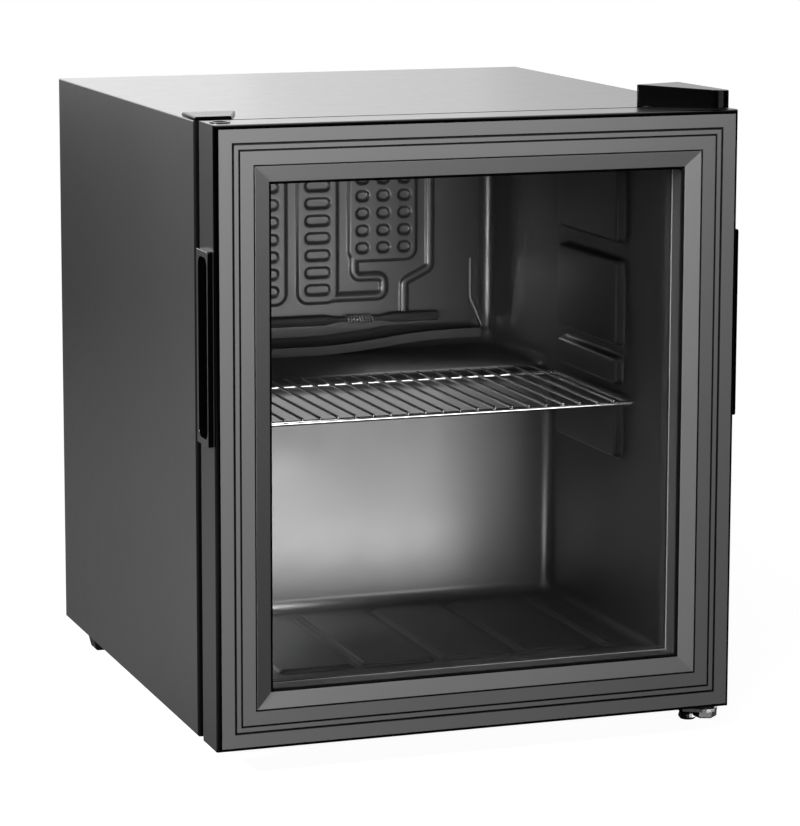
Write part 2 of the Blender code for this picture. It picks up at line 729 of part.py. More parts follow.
def compressor_space_panel():
    """Bent sheet that parts the insulation from the compressor space."""
    front = FRONT + SPACE_FRONT
    top = BASE + SPACE_TOP
    bottom = BASE + SHELL_SHEET + CLEAR
    outline = (
        (front - SHELL_SHEET, bottom),
        (front, bottom),
        (front, top - SHELL_SHEET),
        (REAR, top - SHELL_SHEET),
        (REAR, top),
        (front - SHELL_SHEET, top),
    )
    half = INNER_HALF - SHELL_SHEET - CLEAR
    bm = bmesh.new()
    add_prism(bm, [(-half, y, z) for y, z in outline], Vector((2 * half, 0, 0)))
    panel = mesh_object("compressor_space_panel", bm, "galvanised")
    through = Vector((0, 0, 6 * MM))
    drain = place(DRAIN_X, DRAIN_DEPTH, SPACE_TOP)
    cut_round(panel, drain - through, drain + through, DRAIN_RADIUS + CLEAR)
    slack = TUBE_RADIUS + 1 * MM
    for depth in (COIL_RISER, COIL_RETURN):
        spot = place(HALF, depth, SPACE_TOP)
        low = (half - POCKET_DEPTH, spot.y - slack, spot.z - 4 * MM)
        cut_box(panel, low, (half + 1 * MM, spot.y + slack, spot.z + 4 * MM))


def rear_panel():
    """Flat back sheet above the compressor space, with a lip folded forward along its foot."""
    bottom = BASE + SPACE_TOP + CLEAR
    top = TOP - SHELL_SHEET - CLEAR
    lip = 12 * MM
    outline = (
        (REAR, bottom),
        (REAR, top),
        (REAR - SHELL_SHEET, top),
        (REAR - SHELL_SHEET, bottom + SHELL_SHEET),
        (REAR - lip, bottom + SHELL_SHEET),
        (REAR - lip, bottom),
    )
    bm = bmesh.new()
    add_prism(bm, [(-INNER_HALF, y, z) for y, z in outline], Vector((2 * INNER_HALF, 0, 0)))
    mesh_object("rear_panel", bm, "shell")


def insulation():
    """The foam between shell and liner, with room for the compressor and the condenser."""
    low = (-INNER_HALF, CABINET_FRONT + SHELL_SHEET + CLEAR, BASE + SHELL_SHEET + CLEAR)
    high = (INNER_HALF, REAR - SHELL_SHEET - CLEAR, TOP - SHELL_SHEET - CLEAR)
    bm = bmesh.new()
    add_box(bm, low, high)
    foam = mesh_object("insulation_foam", bm, "foam")
    bm = bmesh.new()
    add_liner_volume(bm, -LINER_WALL - CLEAR, CABINET_START - DOOR_GAP)
    combine(foam, "DIFFERENCE", cutter("foam_tub", bm))
    flange_low, flange_high = liner_flange_box(CLEAR)
    cut_box(foam, flange_low, flange_high)
    panel_front = FRONT + SPACE_FRONT - SHELL_SHEET - CLEAR
    panel_top = BASE + SPACE_TOP + CLEAR
    margin = 10 * MM
    low_cut = BASE - margin
    side_cut = HALF + margin
    rear_cut = REAR + margin
    cut_box(foam, (-side_cut, panel_front, low_cut), (side_cut, rear_cut, panel_top))
    lip_top = panel_top + SHELL_SHEET + 2 * CLEAR
    cut_box(foam, (-side_cut, REAR - 13 * MM, panel_top - margin), (side_cut, rear_cut, lip_top))
    flange_inner = INNER_HALF - SHELL_SHEET - CLEAR
    flange_top = BASE + PAN_FLANGE + CLEAR
    for side in (-1, 1):
        xs = sorted((side * flange_inner, side * side_cut))
        cut_box(foam, (xs[0], FRONT, low_cut), (xs[1], rear_cut, flange_top))
    pan_front = low[1] + SHELL_SHEET + CLEAR
    cut_box(foam, (-side_cut, FRONT, low_cut), (side_cut, pan_front, flange_top))
    drain = place(DRAIN_X, DRAIN_DEPTH, SPACE_TOP)
    reach = Vector((0, 0, SPACE_INSULATION + margin))
    cut_round(foam, drain - reach, drain + reach, DRAIN_RADIUS + CLEAR)
    coil_top = COIL_LOWEST + COIL_PITCH * (COIL_RUN_COUNT - 1) + POCKET_MARGIN
    pocket_front = COIL_DEPTHS[0] - POCKET_MARGIN
    pocket_low = place(INNER_HALF - POCKET_DEPTH, pocket_front, COIL_LOWEST - POCKET_MARGIN)
    pocket_high = place(side_cut, COIL_RETURN + POCKET_MARGIN, coil_top)
    cut_box(foam, pocket_low, pocket_high)
    slot_low = place(INNER_HALF - POCKET_DEPTH, COIL_RISER - POCKET_MARGIN, SPACE_TOP - margin)
    slot_high = place(side_cut, COIL_RETURN + POCKET_MARGIN, COIL_LOWEST)
    cut_box(foam, slot_low, slot_high)
    foot_x, foot_depth = LEFT_FOOT
    stud = place(foot_x, foot_depth, 0)
    reach = Vector((0, 0, margin))
    cut_round(foam, stud - reach, stud + reach, FOOT_STUD + 1 * MM, 16)


# Evaporator


def pattern_x(reach, side):
    """A place in the plate's pattern, which is alike on both sides of its middle."""
    return PATTERN_MIDDLE + side * reach


def add_field(bm, left, right, bottom, top, corner):
    """A raised field on the plate with rounded corners and sloping edges."""
    def outline(grow, depth):
        points = []
        radius = corner + grow
        for cx, cz, start in (
            (right - corner, bottom + corner, -90),
            (right - corner, top - corner, 0),
            (left + corner, top - corner, 90),
            (left + corner, bottom + corner, 180),
        ):
            points += arc((cx, cz), radius, start, start + 90, 3)
        return [place(x, depth, z) for x, z in points]

    root = PLATE_FACE + PLATE_SHEET / 2
    crest = PLATE_FACE - BLISTER
    loops = [outline(0, root), outline(0, PLATE_FACE), outline(-BLISTER_SLOPE, crest)]
    add_loft(bm, loops, cap_ends=True)


def add_oval(bm, x, z, length, height):
    """A cutter for one bonded oval, with round ends."""
    half_run = max(length - height, 0) / 2
    points = arc((x + half_run, z), height / 2, -90, 90, OVAL_STEPS)
    points += arc((x - half_run, z), height / 2, 90, 270, OVAL_STEPS)
    outline = [place(px, PLATE_FACE - 2 * BLISTER, pz) for px, pz in points]
    add_prism(bm, outline, Vector((0, 2 * BLISTER, 0)))


def add_oval_column(bm, x, length, ends, rows):
    """A column of evenly spaced ovals between two heights."""
    pitch = (ends[1] - ends[0]) / (rows - 1)
    for row in range(rows):
        add_oval(bm, x, ends[0] + row * pitch, length, OVAL_SHARE * pitch)


def add_channel(plate, name, path):
    """A raised channel on the plate along a path of (x, height) points."""
    points = [place(x, 0, z) for x, z in path]
    run = as_mesh(tube(name, rounded_corners(points, 7 * MM, 3), CHANNEL_RADIUS, None, 1), CUTTERS)
    for vert in run.data.vertices:
        vert.co.y = FRONT + PLATE_FACE + (vert.co.y - FRONT) * BLISTER / CHANNEL_RADIUS
    as_guide(run)
    combine(plate, "UNION", run)


def evaporator_plate():
    """Roll-bonded plate: raised fields with bonded ovals, joined by a winding channel."""
    outline = []
    for cx, cz, start in (
        (PLATE_HALF - PLATE_CORNER, PLATE_BOTTOM + PLATE_CORNER, -90),
        (PLATE_HALF - PLATE_CORNER, PLATE_TOP - PLATE_CORNER, 0),
        (PLATE_CORNER - PLATE_HALF, PLATE_TOP - PLATE_CORNER, 90),
        (PLATE_CORNER - PLATE_HALF, PLATE_BOTTOM + PLATE_CORNER, 180),
    ):
        outline += arc((cx, cz), PLATE_CORNER, start, start + 90, 3)
    bm = bmesh.new()
    face = [place(x, PLATE_FACE, z) for x, z in outline]
    add_prism(bm, face, Vector((0, PLATE_SHEET, 0)))
    plate = mesh_object("evaporator_plate", bm, "evaporator")
    fields = bmesh.new()
    ovals = bmesh.new()
    for side in (-1, 1):
        for field, bottom in ((LONG_FIELD, LONG_FIELD_BOTTOM), (WIDE_FIELD, WIDE_FIELD_BOTTOM)):
            left, right = sorted(pattern_x(reach, side) for reach in field)
            add_field(fields, left, right, bottom, PATTERN_TOP, FIELD_CORNER)
        reach, length = LONG_OVAL
        add_oval_column(ovals, pattern_x(reach, side), length, LONG_OVAL_ENDS, LONG_OVAL_COUNT)
        for reach in SMALL_OVAL_REACHES:
            x = pattern_x(reach, side)
            add_oval_column(ovals, x, SMALL_OVAL_LENGTH, SMALL_OVAL_ENDS, SMALL_OVAL_COUNT)
    combine(plate, "UNION", cutter("plate_fields", fields))
    combine(plate, "DIFFERENCE", cutter("plate_ovals", ovals))
    lower = LONG_FIELD_BOTTOM + CHANNEL_RADIUS
    upper = lower + CHANNEL_RISE
    for side in (-1, 1):
        start = pattern_x(LONG_FIELD[1] - 6 * MM, side)
        turn = pattern_x(CHANNEL_TURN[0], side)
        rise = pattern_x(CHANNEL_TURN[1], side)
        end = WIDE_FIELD_BOTTOM + 8 * MM
        path = ((start, lower), (turn, lower), (turn, upper), (rise, upper), (rise, end))
        add_channel(plate, "winding_channel", path)
    right = (
        (RIGHT_CHANNEL_X, PATTERN_TOP - 4 * MM),
        (RIGHT_CHANNEL_X, JOG_TOP),
        (JOGGED_CHANNEL_X, JOG_BOTTOM),
        (JOGGED_CHANNEL_X, HEADER_HEIGHT + HEADER_RADIUS + 1 * MM),
    )
    add_channel(plate, "right_channel", right)


def evaporator_standoffs():
    """Spacers that hold the plate off the liner's back wall."""
    names = ("low_left", "low_right", "high_left", "high_right")
    spots = [(x, z) for z in STANDOFF_HEIGHTS for x in (-STANDOFF_X, STANDOFF_X)]
    for name, (x, z) in zip(names, spots):
        length = LINER_BACK - PLATE_FACE - PLATE_SHEET - 2 * CLEAR
        origin = place(x, LINER_BACK - CLEAR - length / 2, z)
        profile = (
            (0, length / 2),
            (STANDOFF_RADIUS, length / 2),
            (STANDOFF_RADIUS * 0.7, -length / 2),
            (0, -length / 2),
        )
        turned("evaporator_standoff_" + name, profile, origin, "plastic", 12, (0, 1, 0))


def suction_line():
    """Suction tube along the plate's foot, drawn in under the wrapped joint."""
    depth = PLATE_FACE - HEADER_RADIUS - CLEAR
    neck_left, neck_right = NECK_ENDS
    xs = (
        (HEADER_RIGHT, 1.0),
        (neck_right + NECK_TAPER, 1.0),
        (neck_right, HEADER_NECK / HEADER_RADIUS),
        (neck_left, HEADER_NECK / HEADER_RADIUS),
        (neck_left - NECK_TAPER, 1.0),
    )
    path = [place(x, depth, HEADER_HEIGHT) for x, share in xs]
    shares = [share for x, share in xs]
    corner = place(HEADER_LEFT, depth, HEADER_HEIGHT)
    wall = place(HEADER_LEFT, LINER_BACK - 3 * MM, HEADER_HEIGHT)
    bend = rounded_corners([path[-1], corner, wall], 8 * MM, 4)[1:]
    path += bend
    shares += [1.0] * len(bend)
    tube("suction_line", path, HEADER_RADIUS, "evaporator", 2, shares)


def capillary_wrap():
    """The fine tube wound round the neck of the suction line."""
    depth = PLATE_FACE - HEADER_RADIUS - CLEAR
    centre = place(0, depth, HEADER_HEIGHT)
    left, right = WRAP_ENDS
    radius = HEADER_NECK + CLEAR + WRAP_WIRE
    steps = 9
    path = []
    for k in range(WRAP_TURNS * steps + 1):
        angle = 2 * math.pi * k / steps
        x = left + (right - left) * k / (WRAP_TURNS * steps)
        path.append((x, centre.y + radius * math.cos(angle), centre.z + radius * math.sin(angle)))
    apart = []
    for k, point in enumerate(path):
        for other in path[k + steps // 2:]:
            apart.append((Vector(point) - Vector(other)).length)
    print("capillary wrap, least gap to itself: %.2f mm" % ((min(apart) - 2 * WRAP_WIRE) / MM))
    tube("capillary_wrap", path, WRAP_WIRE, "zinc", 1)


def sensor_tube():
    """Thermostat sensing tube from the plate's lower right corner to the back wall."""
    front = PLATE_FACE - SENSOR_RADIUS - CLEAR
    inner, outer = SENSOR_SIDES
    high, middle, low = SENSOR_HEIGHTS
    path = [
        place(inner, front, high),
        place(inner, front, middle),
        place(outer, front, low),
        place(outer, LINER_BACK - 2 * MM, low),
    ]
    tube("thermostat_sensor_tube", rounded_corners(path, 5 * MM), SENSOR_RADIUS, "zinc", 1)


def drip_gutter():
    """Trough under the plate, rising to the right, that leads water to the drain."""
    low = LINER_STEP_TOP + CLEAR
    high = low + GUTTER_HEIGHT
    corner = LINER_CORNER_RADIUS
    centre = (LINER_BACK - corner, LINER_STEP_TOP + corner)
    section = [(GUTTER_FRONT, high), (GUTTER_FRONT, low)]
    section += arc(centre, corner - CLEAR, -90, -22, 5)
    section += arc(centre, corner - CLEAR - GUTTER_WALL, -22, -90, 5)
    section += [(GUTTER_FRONT + GUTTER_WALL, low + GUTTER_WALL), (GUTTER_FRONT + GUTTER_WALL, high)]
    start, end = GUTTER_RISE_ENDS
    xs = [-GUTTER_HALF]
    steps = 6
    xs += [start + (end - start) * k / steps for k in range(steps + 1)]
    xs.append(GUTTER_HALF)
    loops = []
    for x in xs:
        share = min(max((x - start) / (end - start), 0), 1)
        lift = GUTTER_RISE * (1 - math.cos(math.pi * share)) / 2
        loops.append([place(x, depth, height + lift) for depth, height in section])
    bm = bmesh.new()
    add_loft(bm, loops, cap_ends=True)
    gutter = mesh_object("drip_gutter", bm, "liner")
    hole = place(DRAIN_X, DRAIN_DEPTH, LINER_STEP_TOP)
    reach = Vector((0, 0, 9 * MM))
    cut_round(gutter, hole - reach, hole + reach, DRAIN_BORE, 12)


def drain_tube():
    """Tube that takes the water down through the insulation and drops it into the tray."""
    top = BASE + LINER_STEP_TOP - CLEAR
    tray_top = SHELL_SHEET + GROMMET_HEIGHT + COMPRESSOR_HEIGHT + CLEAR + TRAY_SIZE[2]
    bottom = BASE + tray_top + DRAIN_DROP
    origin = Vector((DRAIN_X, FRONT + DRAIN_DEPTH, bottom))
    length = top - bottom
    profile = (
        (DRAIN_BORE, length),
        (DRAIN_RADIUS, length),
        (DRAIN_RADIUS, DRAIN_TIP),
        (DRAIN_RADIUS * 0.85, 0),
        (DRAIN_BORE, 0),
    )
    turned("drain_tube", profile, origin, "plastic", 14, closed=True)


# Compressor space


def compressor():
    """Sealed compressor on its mounting plate, with three tube stubs."""
    width, depth, sheet = COMPRESSOR_PLATE
    plate_bottom = SHELL_SHEET + GROMMET_HEIGHT
    centre = place(COMPRESSOR_X, COMPRESSOR_DEPTH, plate_bottom)
    bm = bmesh.new()
    low = centre - Vector((width / 2, depth / 2, 0))
    add_box(bm, low, low + Vector((width, depth, sheet)))
    body = mesh_object("compressor", bm, "black_steel")
    dome_bottom = sheet / 2
    height = COMPRESSOR_HEIGHT
    radius = COMPRESSOR_RADIUS
    seam = height * 0.56
    profile = [(0, height)]
    profile += [(radius * 0.96 * c, height * 0.62 + height * 0.38 * s) for c, s in arc((0, 0), 1, 78, 8, 5)]
    profile += [(radius * 0.97, seam + 2 * MM), (radius, seam + 2 * MM), (radius, seam - 2 * MM)]
    profile += [(radius * 0.95, seam - 2 * MM), (radius * 0.92, dome_bottom + 12 * MM)]
    profile += [(radius * 0.6, dome_bottom), (0, dome_bottom)]
    dome = turned("compressor_dome", profile, centre, "black_steel", 20)
    dome.scale = (COMPRESSOR_STRETCH, 1, 1)
    PARTS.objects.unlink(dome)
    CUTTERS.objects.link(dome)
    as_guide(dome)
    combine(body, "UNION", dome)
    stubs = bmesh.new()
    for height in STUB_HEIGHTS:
        start = centre + Vector((0, 0, height))
        add_cylinder(stubs, start, start + Vector((stub_end() - COMPRESSOR_X, 0, 0)), STUB_RADIUS, 10)
    width, depth, height = TERMINAL_BOX
    half_block = depth / 2 - 5 * MM
    block_bottom = TERMINAL_BOTTOM + 6 * MM
    block_top = TERMINAL_BOTTOM + height - 6 * MM
    block_low = place(terminal_face() + CLEAR, COMPRESSOR_DEPTH - half_block, block_bottom)
    block_high = place(COMPRESSOR_X, COMPRESSOR_DEPTH + half_block, block_top)
    add_box(stubs, block_low, block_high)
    combine(body, "UNION", cutter("compressor_stubs", stubs))
    for x, y in grommet_spots():
        spot = Vector((x, y, centre.z))
        reach = Vector((0, 0, 8 * MM))
        cut_round(body, spot - reach, spot + reach, GROMMET_NECK + CLEAR, 12)


def stub_end():
    """How far to the right the compressor's tube stubs reach."""
    return COMPRESSOR_X + COMPRESSOR_RADIUS * COMPRESSOR_STRETCH + STUB_REACH


def terminal_face():
    """Where the compressor's terminal block ends and its cover begins."""
    return COMPRESSOR_X - COMPRESSOR_RADIUS * COMPRESSOR_STRETCH - 1.5 * MM


def grommet_spots():
    """Places of the four rubber mounts."""
    x, y = COMPRESSOR_X, FRONT + COMPRESSOR_DEPTH
    return [(x + i * GROMMET_X, y + j * GROMMET_Y) for i in (-1, 1) for j in (-1, 1)]


def compressor_grommets():
    """Rubber mounts with a neck through the mounting plate and a cap above it."""
    sheet = COMPRESSOR_PLATE[2]
    for number, (x, y) in enumerate(grommet_spots(), 1):
        plate_bottom = GROMMET_HEIGHT
        plate_top = plate_bottom + sheet
        profile = (
            (0, plate_top + 4 * MM),
            (GROMMET_NECK, plate_top + 4 * MM),
            (GROMMET_NECK + 1.6 * MM, plate_top + CLEAR),
            (GROMMET_NECK, plate_top + CLEAR),
            (GROMMET_NECK, plate_bottom - CLEAR),
            (GROMMET_FLANGE, plate_bottom - CLEAR),
            (GROMMET_FLANGE * 0.8, GROMMET_HEIGHT / 2),
            (GROMMET_FLANGE, CLEAR),
            (0, CLEAR),
        )
        origin = (x, y, BASE + SHELL_SHEET)
        turned("compressor_grommet_%d" % number, profile, origin, "rubber", 12)


def terminal_box():
    """Cover over the electric terminals on the compressor's left side."""
    width, depth, height = TERMINAL_BOX
    right = terminal_face()
    low = place(right - width, COMPRESSOR_DEPTH - depth / 2, TERMINAL_BOTTOM)
    bm = bmesh.new()
    add_tapered_box(bm, low, low + Vector((width, depth, height)), (-1, 0, 0), 3 * MM)
    box = mesh_object("terminal_box", bm, "plastic")
    soften(box, 1.5 * MM)


def evaporation_tray():
    """Open tray on top of the compressor that catches the drain water."""
    width, depth, height = TRAY_SIZE
    bottom = SHELL_SHEET + GROMMET_HEIGHT + COMPRESSOR_HEIGHT + CLEAR
    low = place(COMPRESSOR_X - width / 2, COMPRESSOR_DEPTH - depth / 2, bottom)
    bm = bmesh.new()
    verts = add_box(bm, low, low + Vector((width, depth, height)))
    for vert in verts:
        if vert.co.z < low.z + height / 2:
            vert.co.x -= math.copysign(4 * MM, vert.co.x - COMPRESSOR_X)
            vert.co.y -= math.copysign(4 * MM, vert.co.y - (low.y + depth / 2))
    upright = [e for e in bm.edges if abs(e.verts[0].co.z - e.verts[1].co.z) > height / 2]
    bmesh.ops.bevel(bm, geom=upright, offset=8 * MM, segments=3, affect="EDGES")
    lid = [f for f in bm.faces if all(v.co.z > low.z + height / 2 for v in f.verts)]
    bmesh.ops.delete(bm, geom=lid, context="FACES")
    tray = mesh_object("evaporation_tray", bm, "plastic")
    shell = tray.modifiers.new("wall", "SOLIDIFY")
    shell.thickness = TRAY_WALL
    shell.offset = -1
    shell.use_even_offset = True


def condenser_coil():
    """Winding tube behind the right side sheet, from the compressor round to the dryer."""
    x = INNER_HALF - POCKET_DEPTH / 2
    stub_height = SHELL_SHEET + GROMMET_HEIGHT + STUB_HEIGHTS[1]
    turn = stub_end() + 22 * MM
    rise = stub_height + 42 * MM
    corners = [
        place(stub_end() + CLEAR, COMPRESSOR_DEPTH, stub_height),
        place(turn, COMPRESSOR_DEPTH, stub_height),
        place(turn, COIL_RISER, rise),
        place(x, COIL_RISER, rise),
        place(x, COIL_RISER, COIL_LOWEST),
    ]
    height = COIL_LOWEST
    for run in range(COIL_RUN_COUNT):
        last = run == COIL_RUN_COUNT - 1
        corners.append(place(x, COIL_RETURN if last else COIL_DEPTHS[run % 2], height))
        if not last:
            height += COIL_PITCH
            corners.append(place(x, COIL_DEPTHS[run % 2], height))
    corners += [
        place(x, COIL_RETURN, COIL_RETURN_LEVEL),
        place(DRYER_X, COIL_RETURN, COIL_RETURN_LEVEL),
        place(DRYER_X, DRYER_DEPTH, COIL_RETURN_LEVEL),
        place(DRYER_X, DRYER_DEPTH, DRYER_BOTTOM + DRYER_LENGTH + CLEAR),
    ]
    tube("condenser_coil", rounded_corners(corners, 11 * MM, 3), TUBE_RADIUS, "copper", 1)


def filter_dryer():
    """Copper filter dryer with drawn-in ends, hung under the coil's outlet."""
    neck = TUBE_RADIUS + 1.2 * MM
    length = DRYER_LENGTH
    taper = 14 * MM
    profile = (
        (0, length),
        (neck, length),
        (neck, length - 8 * MM),
        (DRYER_RADIUS, length - 8 * MM - taper),
        (DRYER_RADIUS, 8 * MM + taper),
        (neck, 8 * MM),
        (neck, 0),
        (0, 0),
    )
    origin = place(DRYER_X, DRYER_DEPTH, DRYER_BOTTOM)
    turned("filter_dryer", profile, origin, "copper", 16)


def thermostat():
    """Thermostat housing under the space's roof, its shaft and knob facing the rear."""
    width, depth, height = THERMOSTAT_SIZE
    top = BASE + SPACE_TOP - SHELL_SHEET - CLEAR
    rear = REAR - KNOB_DEPTH - 4 * MM
    low = Vector((THERMOSTAT_X - width / 2, rear - depth, top - height))
    bm = bmesh.new()
    add_box(bm, low, low + Vector((width, depth, height)))
    bmesh.ops.bevel(bm, geom=list(bm.edges), offset=2 * MM, segments=1, affect="EDGES")
    housing = mesh_object("thermostat_housing", bm, "plastic")
    axis = Vector((THERMOSTAT_X, rear, top - height / 2))
    bm = bmesh.new()
    shaft_end = axis + Vector((0, KNOB_DEPTH * 0.7, 0))
    add_cylinder(bm, axis - Vector((0, 5 * MM, 0)), shaft_end, KNOB_SHAFT, 14)
    combine(housing, "UNION", cutter("thermostat_shaft", bm))
    start = 0.4 * MM
    bore = KNOB_SHAFT + PIN_CLEAR
    profile = (
        (0, KNOB_DEPTH + start),
        (KNOB_RADIUS - 3 * MM, KNOB_DEPTH + start),
        (KNOB_RADIUS - 1.5 * MM, KNOB_DEPTH),
        (KNOB_RADIUS, start + 2 * MM),
        (KNOB_RADIUS, start),
        (bore, start),
        (bore, KNOB_DEPTH * 0.7 + CLEAR),
        (0, KNOB_DEPTH * 0.7 + CLEAR),
    )
    knob = turned("thermostat_knob", profile, axis, "plastic", 24, (0, 1, 0))
    grip = bmesh.new()
    ridge_low = (-2 * MM, -KNOB_RADIUS + 4 * MM, KNOB_DEPTH - 1 * MM)
    ridge_high = (2 * MM, KNOB_RADIUS - 4 * MM, KNOB_DEPTH + start + 2.4 * MM)
    add_tapered_box(grip, ridge_low, ridge_high, (0, 0, 1), 0.8 * MM)
    ridge = cutter("knob_ridge", grip)
    ridge.parent = knob
    combine(knob, "UNION", ridge)


# Door


def door_ring(name, section, slot):
    """One mitred frame of the door from its section."""
    bm = bmesh.new()
    add_mitred_ring(bm, HALF, BASE, DOOR_TOP, section)
    return mesh_object(name, bm, slot)


def door_frame():
    """Moulded channel that goes round the door and carries all the rest."""
    wall = FRAME_WALL
    front = FACE_SHEET + CLEAR + FACE_FALL
    web = GLASS_INSET - CLEAR
    section = (
        (0, EDGE_DEPTH + CLEAR),
        (EDGE_CHAMFER, EDGE_DEPTH + CLEAR),
        (EDGE_CHAMFER, front),
        (web, front),
        (web, DOOR_THICKNESS - LINER_SHEET - CLEAR),
        (web - FRAME_WEB, DOOR_THICKNESS - LINER_SHEET - CLEAR),
        (web - FRAME_WEB, front + wall),
        (wall, EDGE_DEPTH + CLEAR + wall),
        (wall, DOOR_THICKNESS - wall),
        (FRAME_REAR_LIP, DOOR_THICKNESS - wall),
        (FRAME_REAR_LIP, DOOR_THICKNESS),
        (0, DOOR_THICKNESS),
    )
    frame = door_ring("door_frame", section, "shell")
    for side in (-1, 1):
        xs = sorted((side * (HALF - FRAME_WALL - 3 * MM), side * (HALF + 3 * MM)))
        y0 = FRONT + GRIP_FRONT + GRIP_FLANGE - CLEAR
        y1 = FRONT + GRIP_REAR - GRIP_FLANGE + CLEAR
        z0 = BASE + GRIP_BOTTOM + GRIP_FLANGE - CLEAR
        z1 = BASE + GRIP_TOP - GRIP_FLANGE + CLEAR
        cut_box(frame, (xs[0], y0, z0), (xs[1], y1, z1))
        for height in (BASE, DOOR_TOP):
            low = (side * HINGE_X, HINGE_Y, height - 4 * MM)
            high = (side * HINGE_X, HINGE_Y, height + 4 * MM)
            cut_round(frame, low, high, BUSH_RADIUS + CLEAR)


def face_depth(inset):
    """Depth of the door's face at an inset: it falls slightly towards the glass."""
    start = EDGE_CHAMFER + CLEAR
    return FACE_FALL * (inset - start) / (FACE_INNER - start)


def door_face():
    """The grooved face frame."""
    start = EDGE_CHAMFER + CLEAR
    section = [(start, face_depth(start))]
    for middle, width in GROOVES:
        left, right = middle - width / 2, middle + width / 2
        shoulder = width * 0.2
        section.append((left, face_depth(left)))
        section.append((left + shoulder, face_depth(left) + GROOVE_DEPTH))
        section.append((right - shoulder, face_depth(right) + GROOVE_DEPTH))
        section.append((right, face_depth(right)))
    section.append((FACE_INNER - 0.5 * MM, face_depth(FACE_INNER)))
    section.append((FACE_INNER, face_depth(FACE_INNER) + 0.5 * MM))
    section.append((FACE_INNER, FACE_SHEET + FACE_FALL))
    section.append((start, FACE_SHEET + FACE_FALL))
    door_ring("door_face_frame", section, "face")


def door_edge():
    """Rounded gloss strip along the outer front edge of the door."""
    section = [(0, EDGE_DEPTH)]
    for k in range(1, 5):
        angle = math.radians(90 * k / 5)
        inset = EDGE_CHAMFER * (1 - math.cos(angle))
        section.append((inset, EDGE_DEPTH * (1 - math.sin(angle)) + 0.1 * MM))
    section.append((EDGE_CHAMFER, 0.1 * MM))
    section.append((EDGE_CHAMFER, EDGE_DEPTH - 1.5 * MM))
    section.append((EDGE_CHAMFER - 0.6 * MM, EDGE_DEPTH))
    door_ring("door_edge_strip", section, "gloss")


def glazing():
    """Bead, seals, both panes and the spacer between them."""
    web = GLASS_INSET - CLEAR
    back = FACE_SHEET + FACE_FALL
    seal_front = BEAD_LIP + 0.9 * MM
    bead = (
        (BEAD_OUTER, BEAD_FRONT + 0.4 * MM),
        (BEAD_OUTER + 0.5 * MM, BEAD_FRONT),
        (BEAD_INNER - 0.4 * MM, BEAD_LIP - 0.2 * MM),
        (BEAD_INNER, BEAD_LIP + 0.2 * MM),
        (BEAD_INNER, seal_front - CLEAR),
        (web + CLEAR, seal_front - CLEAR),
        (web + CLEAR, back),
        (BEAD_OUTER, back),
    )
    door_ring("glazing_bead", bead, "face")
    seal = (
        (web + CLEAR, seal_front),
        (BEAD_INNER + 0.8 * MM, seal_front),
        (SEAL_INNER, GLASS_FRONT - CLEAR),
        (web + CLEAR, GLASS_FRONT - CLEAR),
    )
    door_ring("glazing_seal", seal, "rubber")
    spacer = (
        (GLASS_INSET + 1.5 * MM, SPACER_FRONT),
        (SPACER_INNER, SPACER_FRONT),
        (SPACER_INNER, SPACER_REAR),
        (GLASS_INSET + 1.5 * MM, SPACER_REAR),
    )
    door_ring("glass_spacer", spacer, "spacer")
    for name, front in (("outer_glass", GLASS_FRONT), ("inner_glass", INNER_GLASS_FRONT)):
        half = HALF - GLASS_INSET
        low = (-half, FRONT + front, BASE + GLASS_INSET)
        high = (half, FRONT + front + GLASS_SHEET, DOOR_TOP - GLASS_INSET)
        bm = bmesh.new()
        add_box(bm, low, high)
        mesh_object(name, bm, "glass")


def door_liner():
    """Inner frame that closes the back of the door and presses on the inner pane."""
    start = FRAME_REAR_LIP + CLEAR
    sheet_front = DOOR_THICKNESS - LINER_SHEET
    lip = INNER_GLASS_REAR + CLEAR
    section = (
        (start, DOOR_THICKNESS),
        (start, sheet_front),
        (GLASS_INSET + 1 * MM, sheet_front),
        (GLASS_INSET + 2.5 * MM, lip),
        (LINER_LIP_INNER, lip),
        (LINER_LIP_INNER, DOOR_THICKNESS - 3 * MM),
        (LINER_LIP_INNER - 3 * MM, DOOR_THICKNESS),
    )
    door_ring("door_liner_frame", section, "plastic")


def gasket():
    """Magnetic door seal with a drawn-in bellows."""
    left, right = GASKET_OUTER, GASKET_OUTER + GASKET_WIDTH
    front, rear = DOOR_THICKNESS + CLEAR, DOOR_THICKNESS + DOOR_GAP - CLEAR
    span = rear - front
    section = (
        (left + GASKET_WAIST, front),
        (left, front + span * 0.28),
        (left + GASKET_WAIST, front + span * 0.52),
        (left, front + span * 0.7),
        (left, rear),
        (right, rear),
        (right, front + span * 0.7),
        (right - GASKET_WAIST, front + span * 0.52),
        (right, front + span * 0.28),
        (right - GASKET_WAIST, front),
    )
    door_ring("door_gasket", section, "rubber")


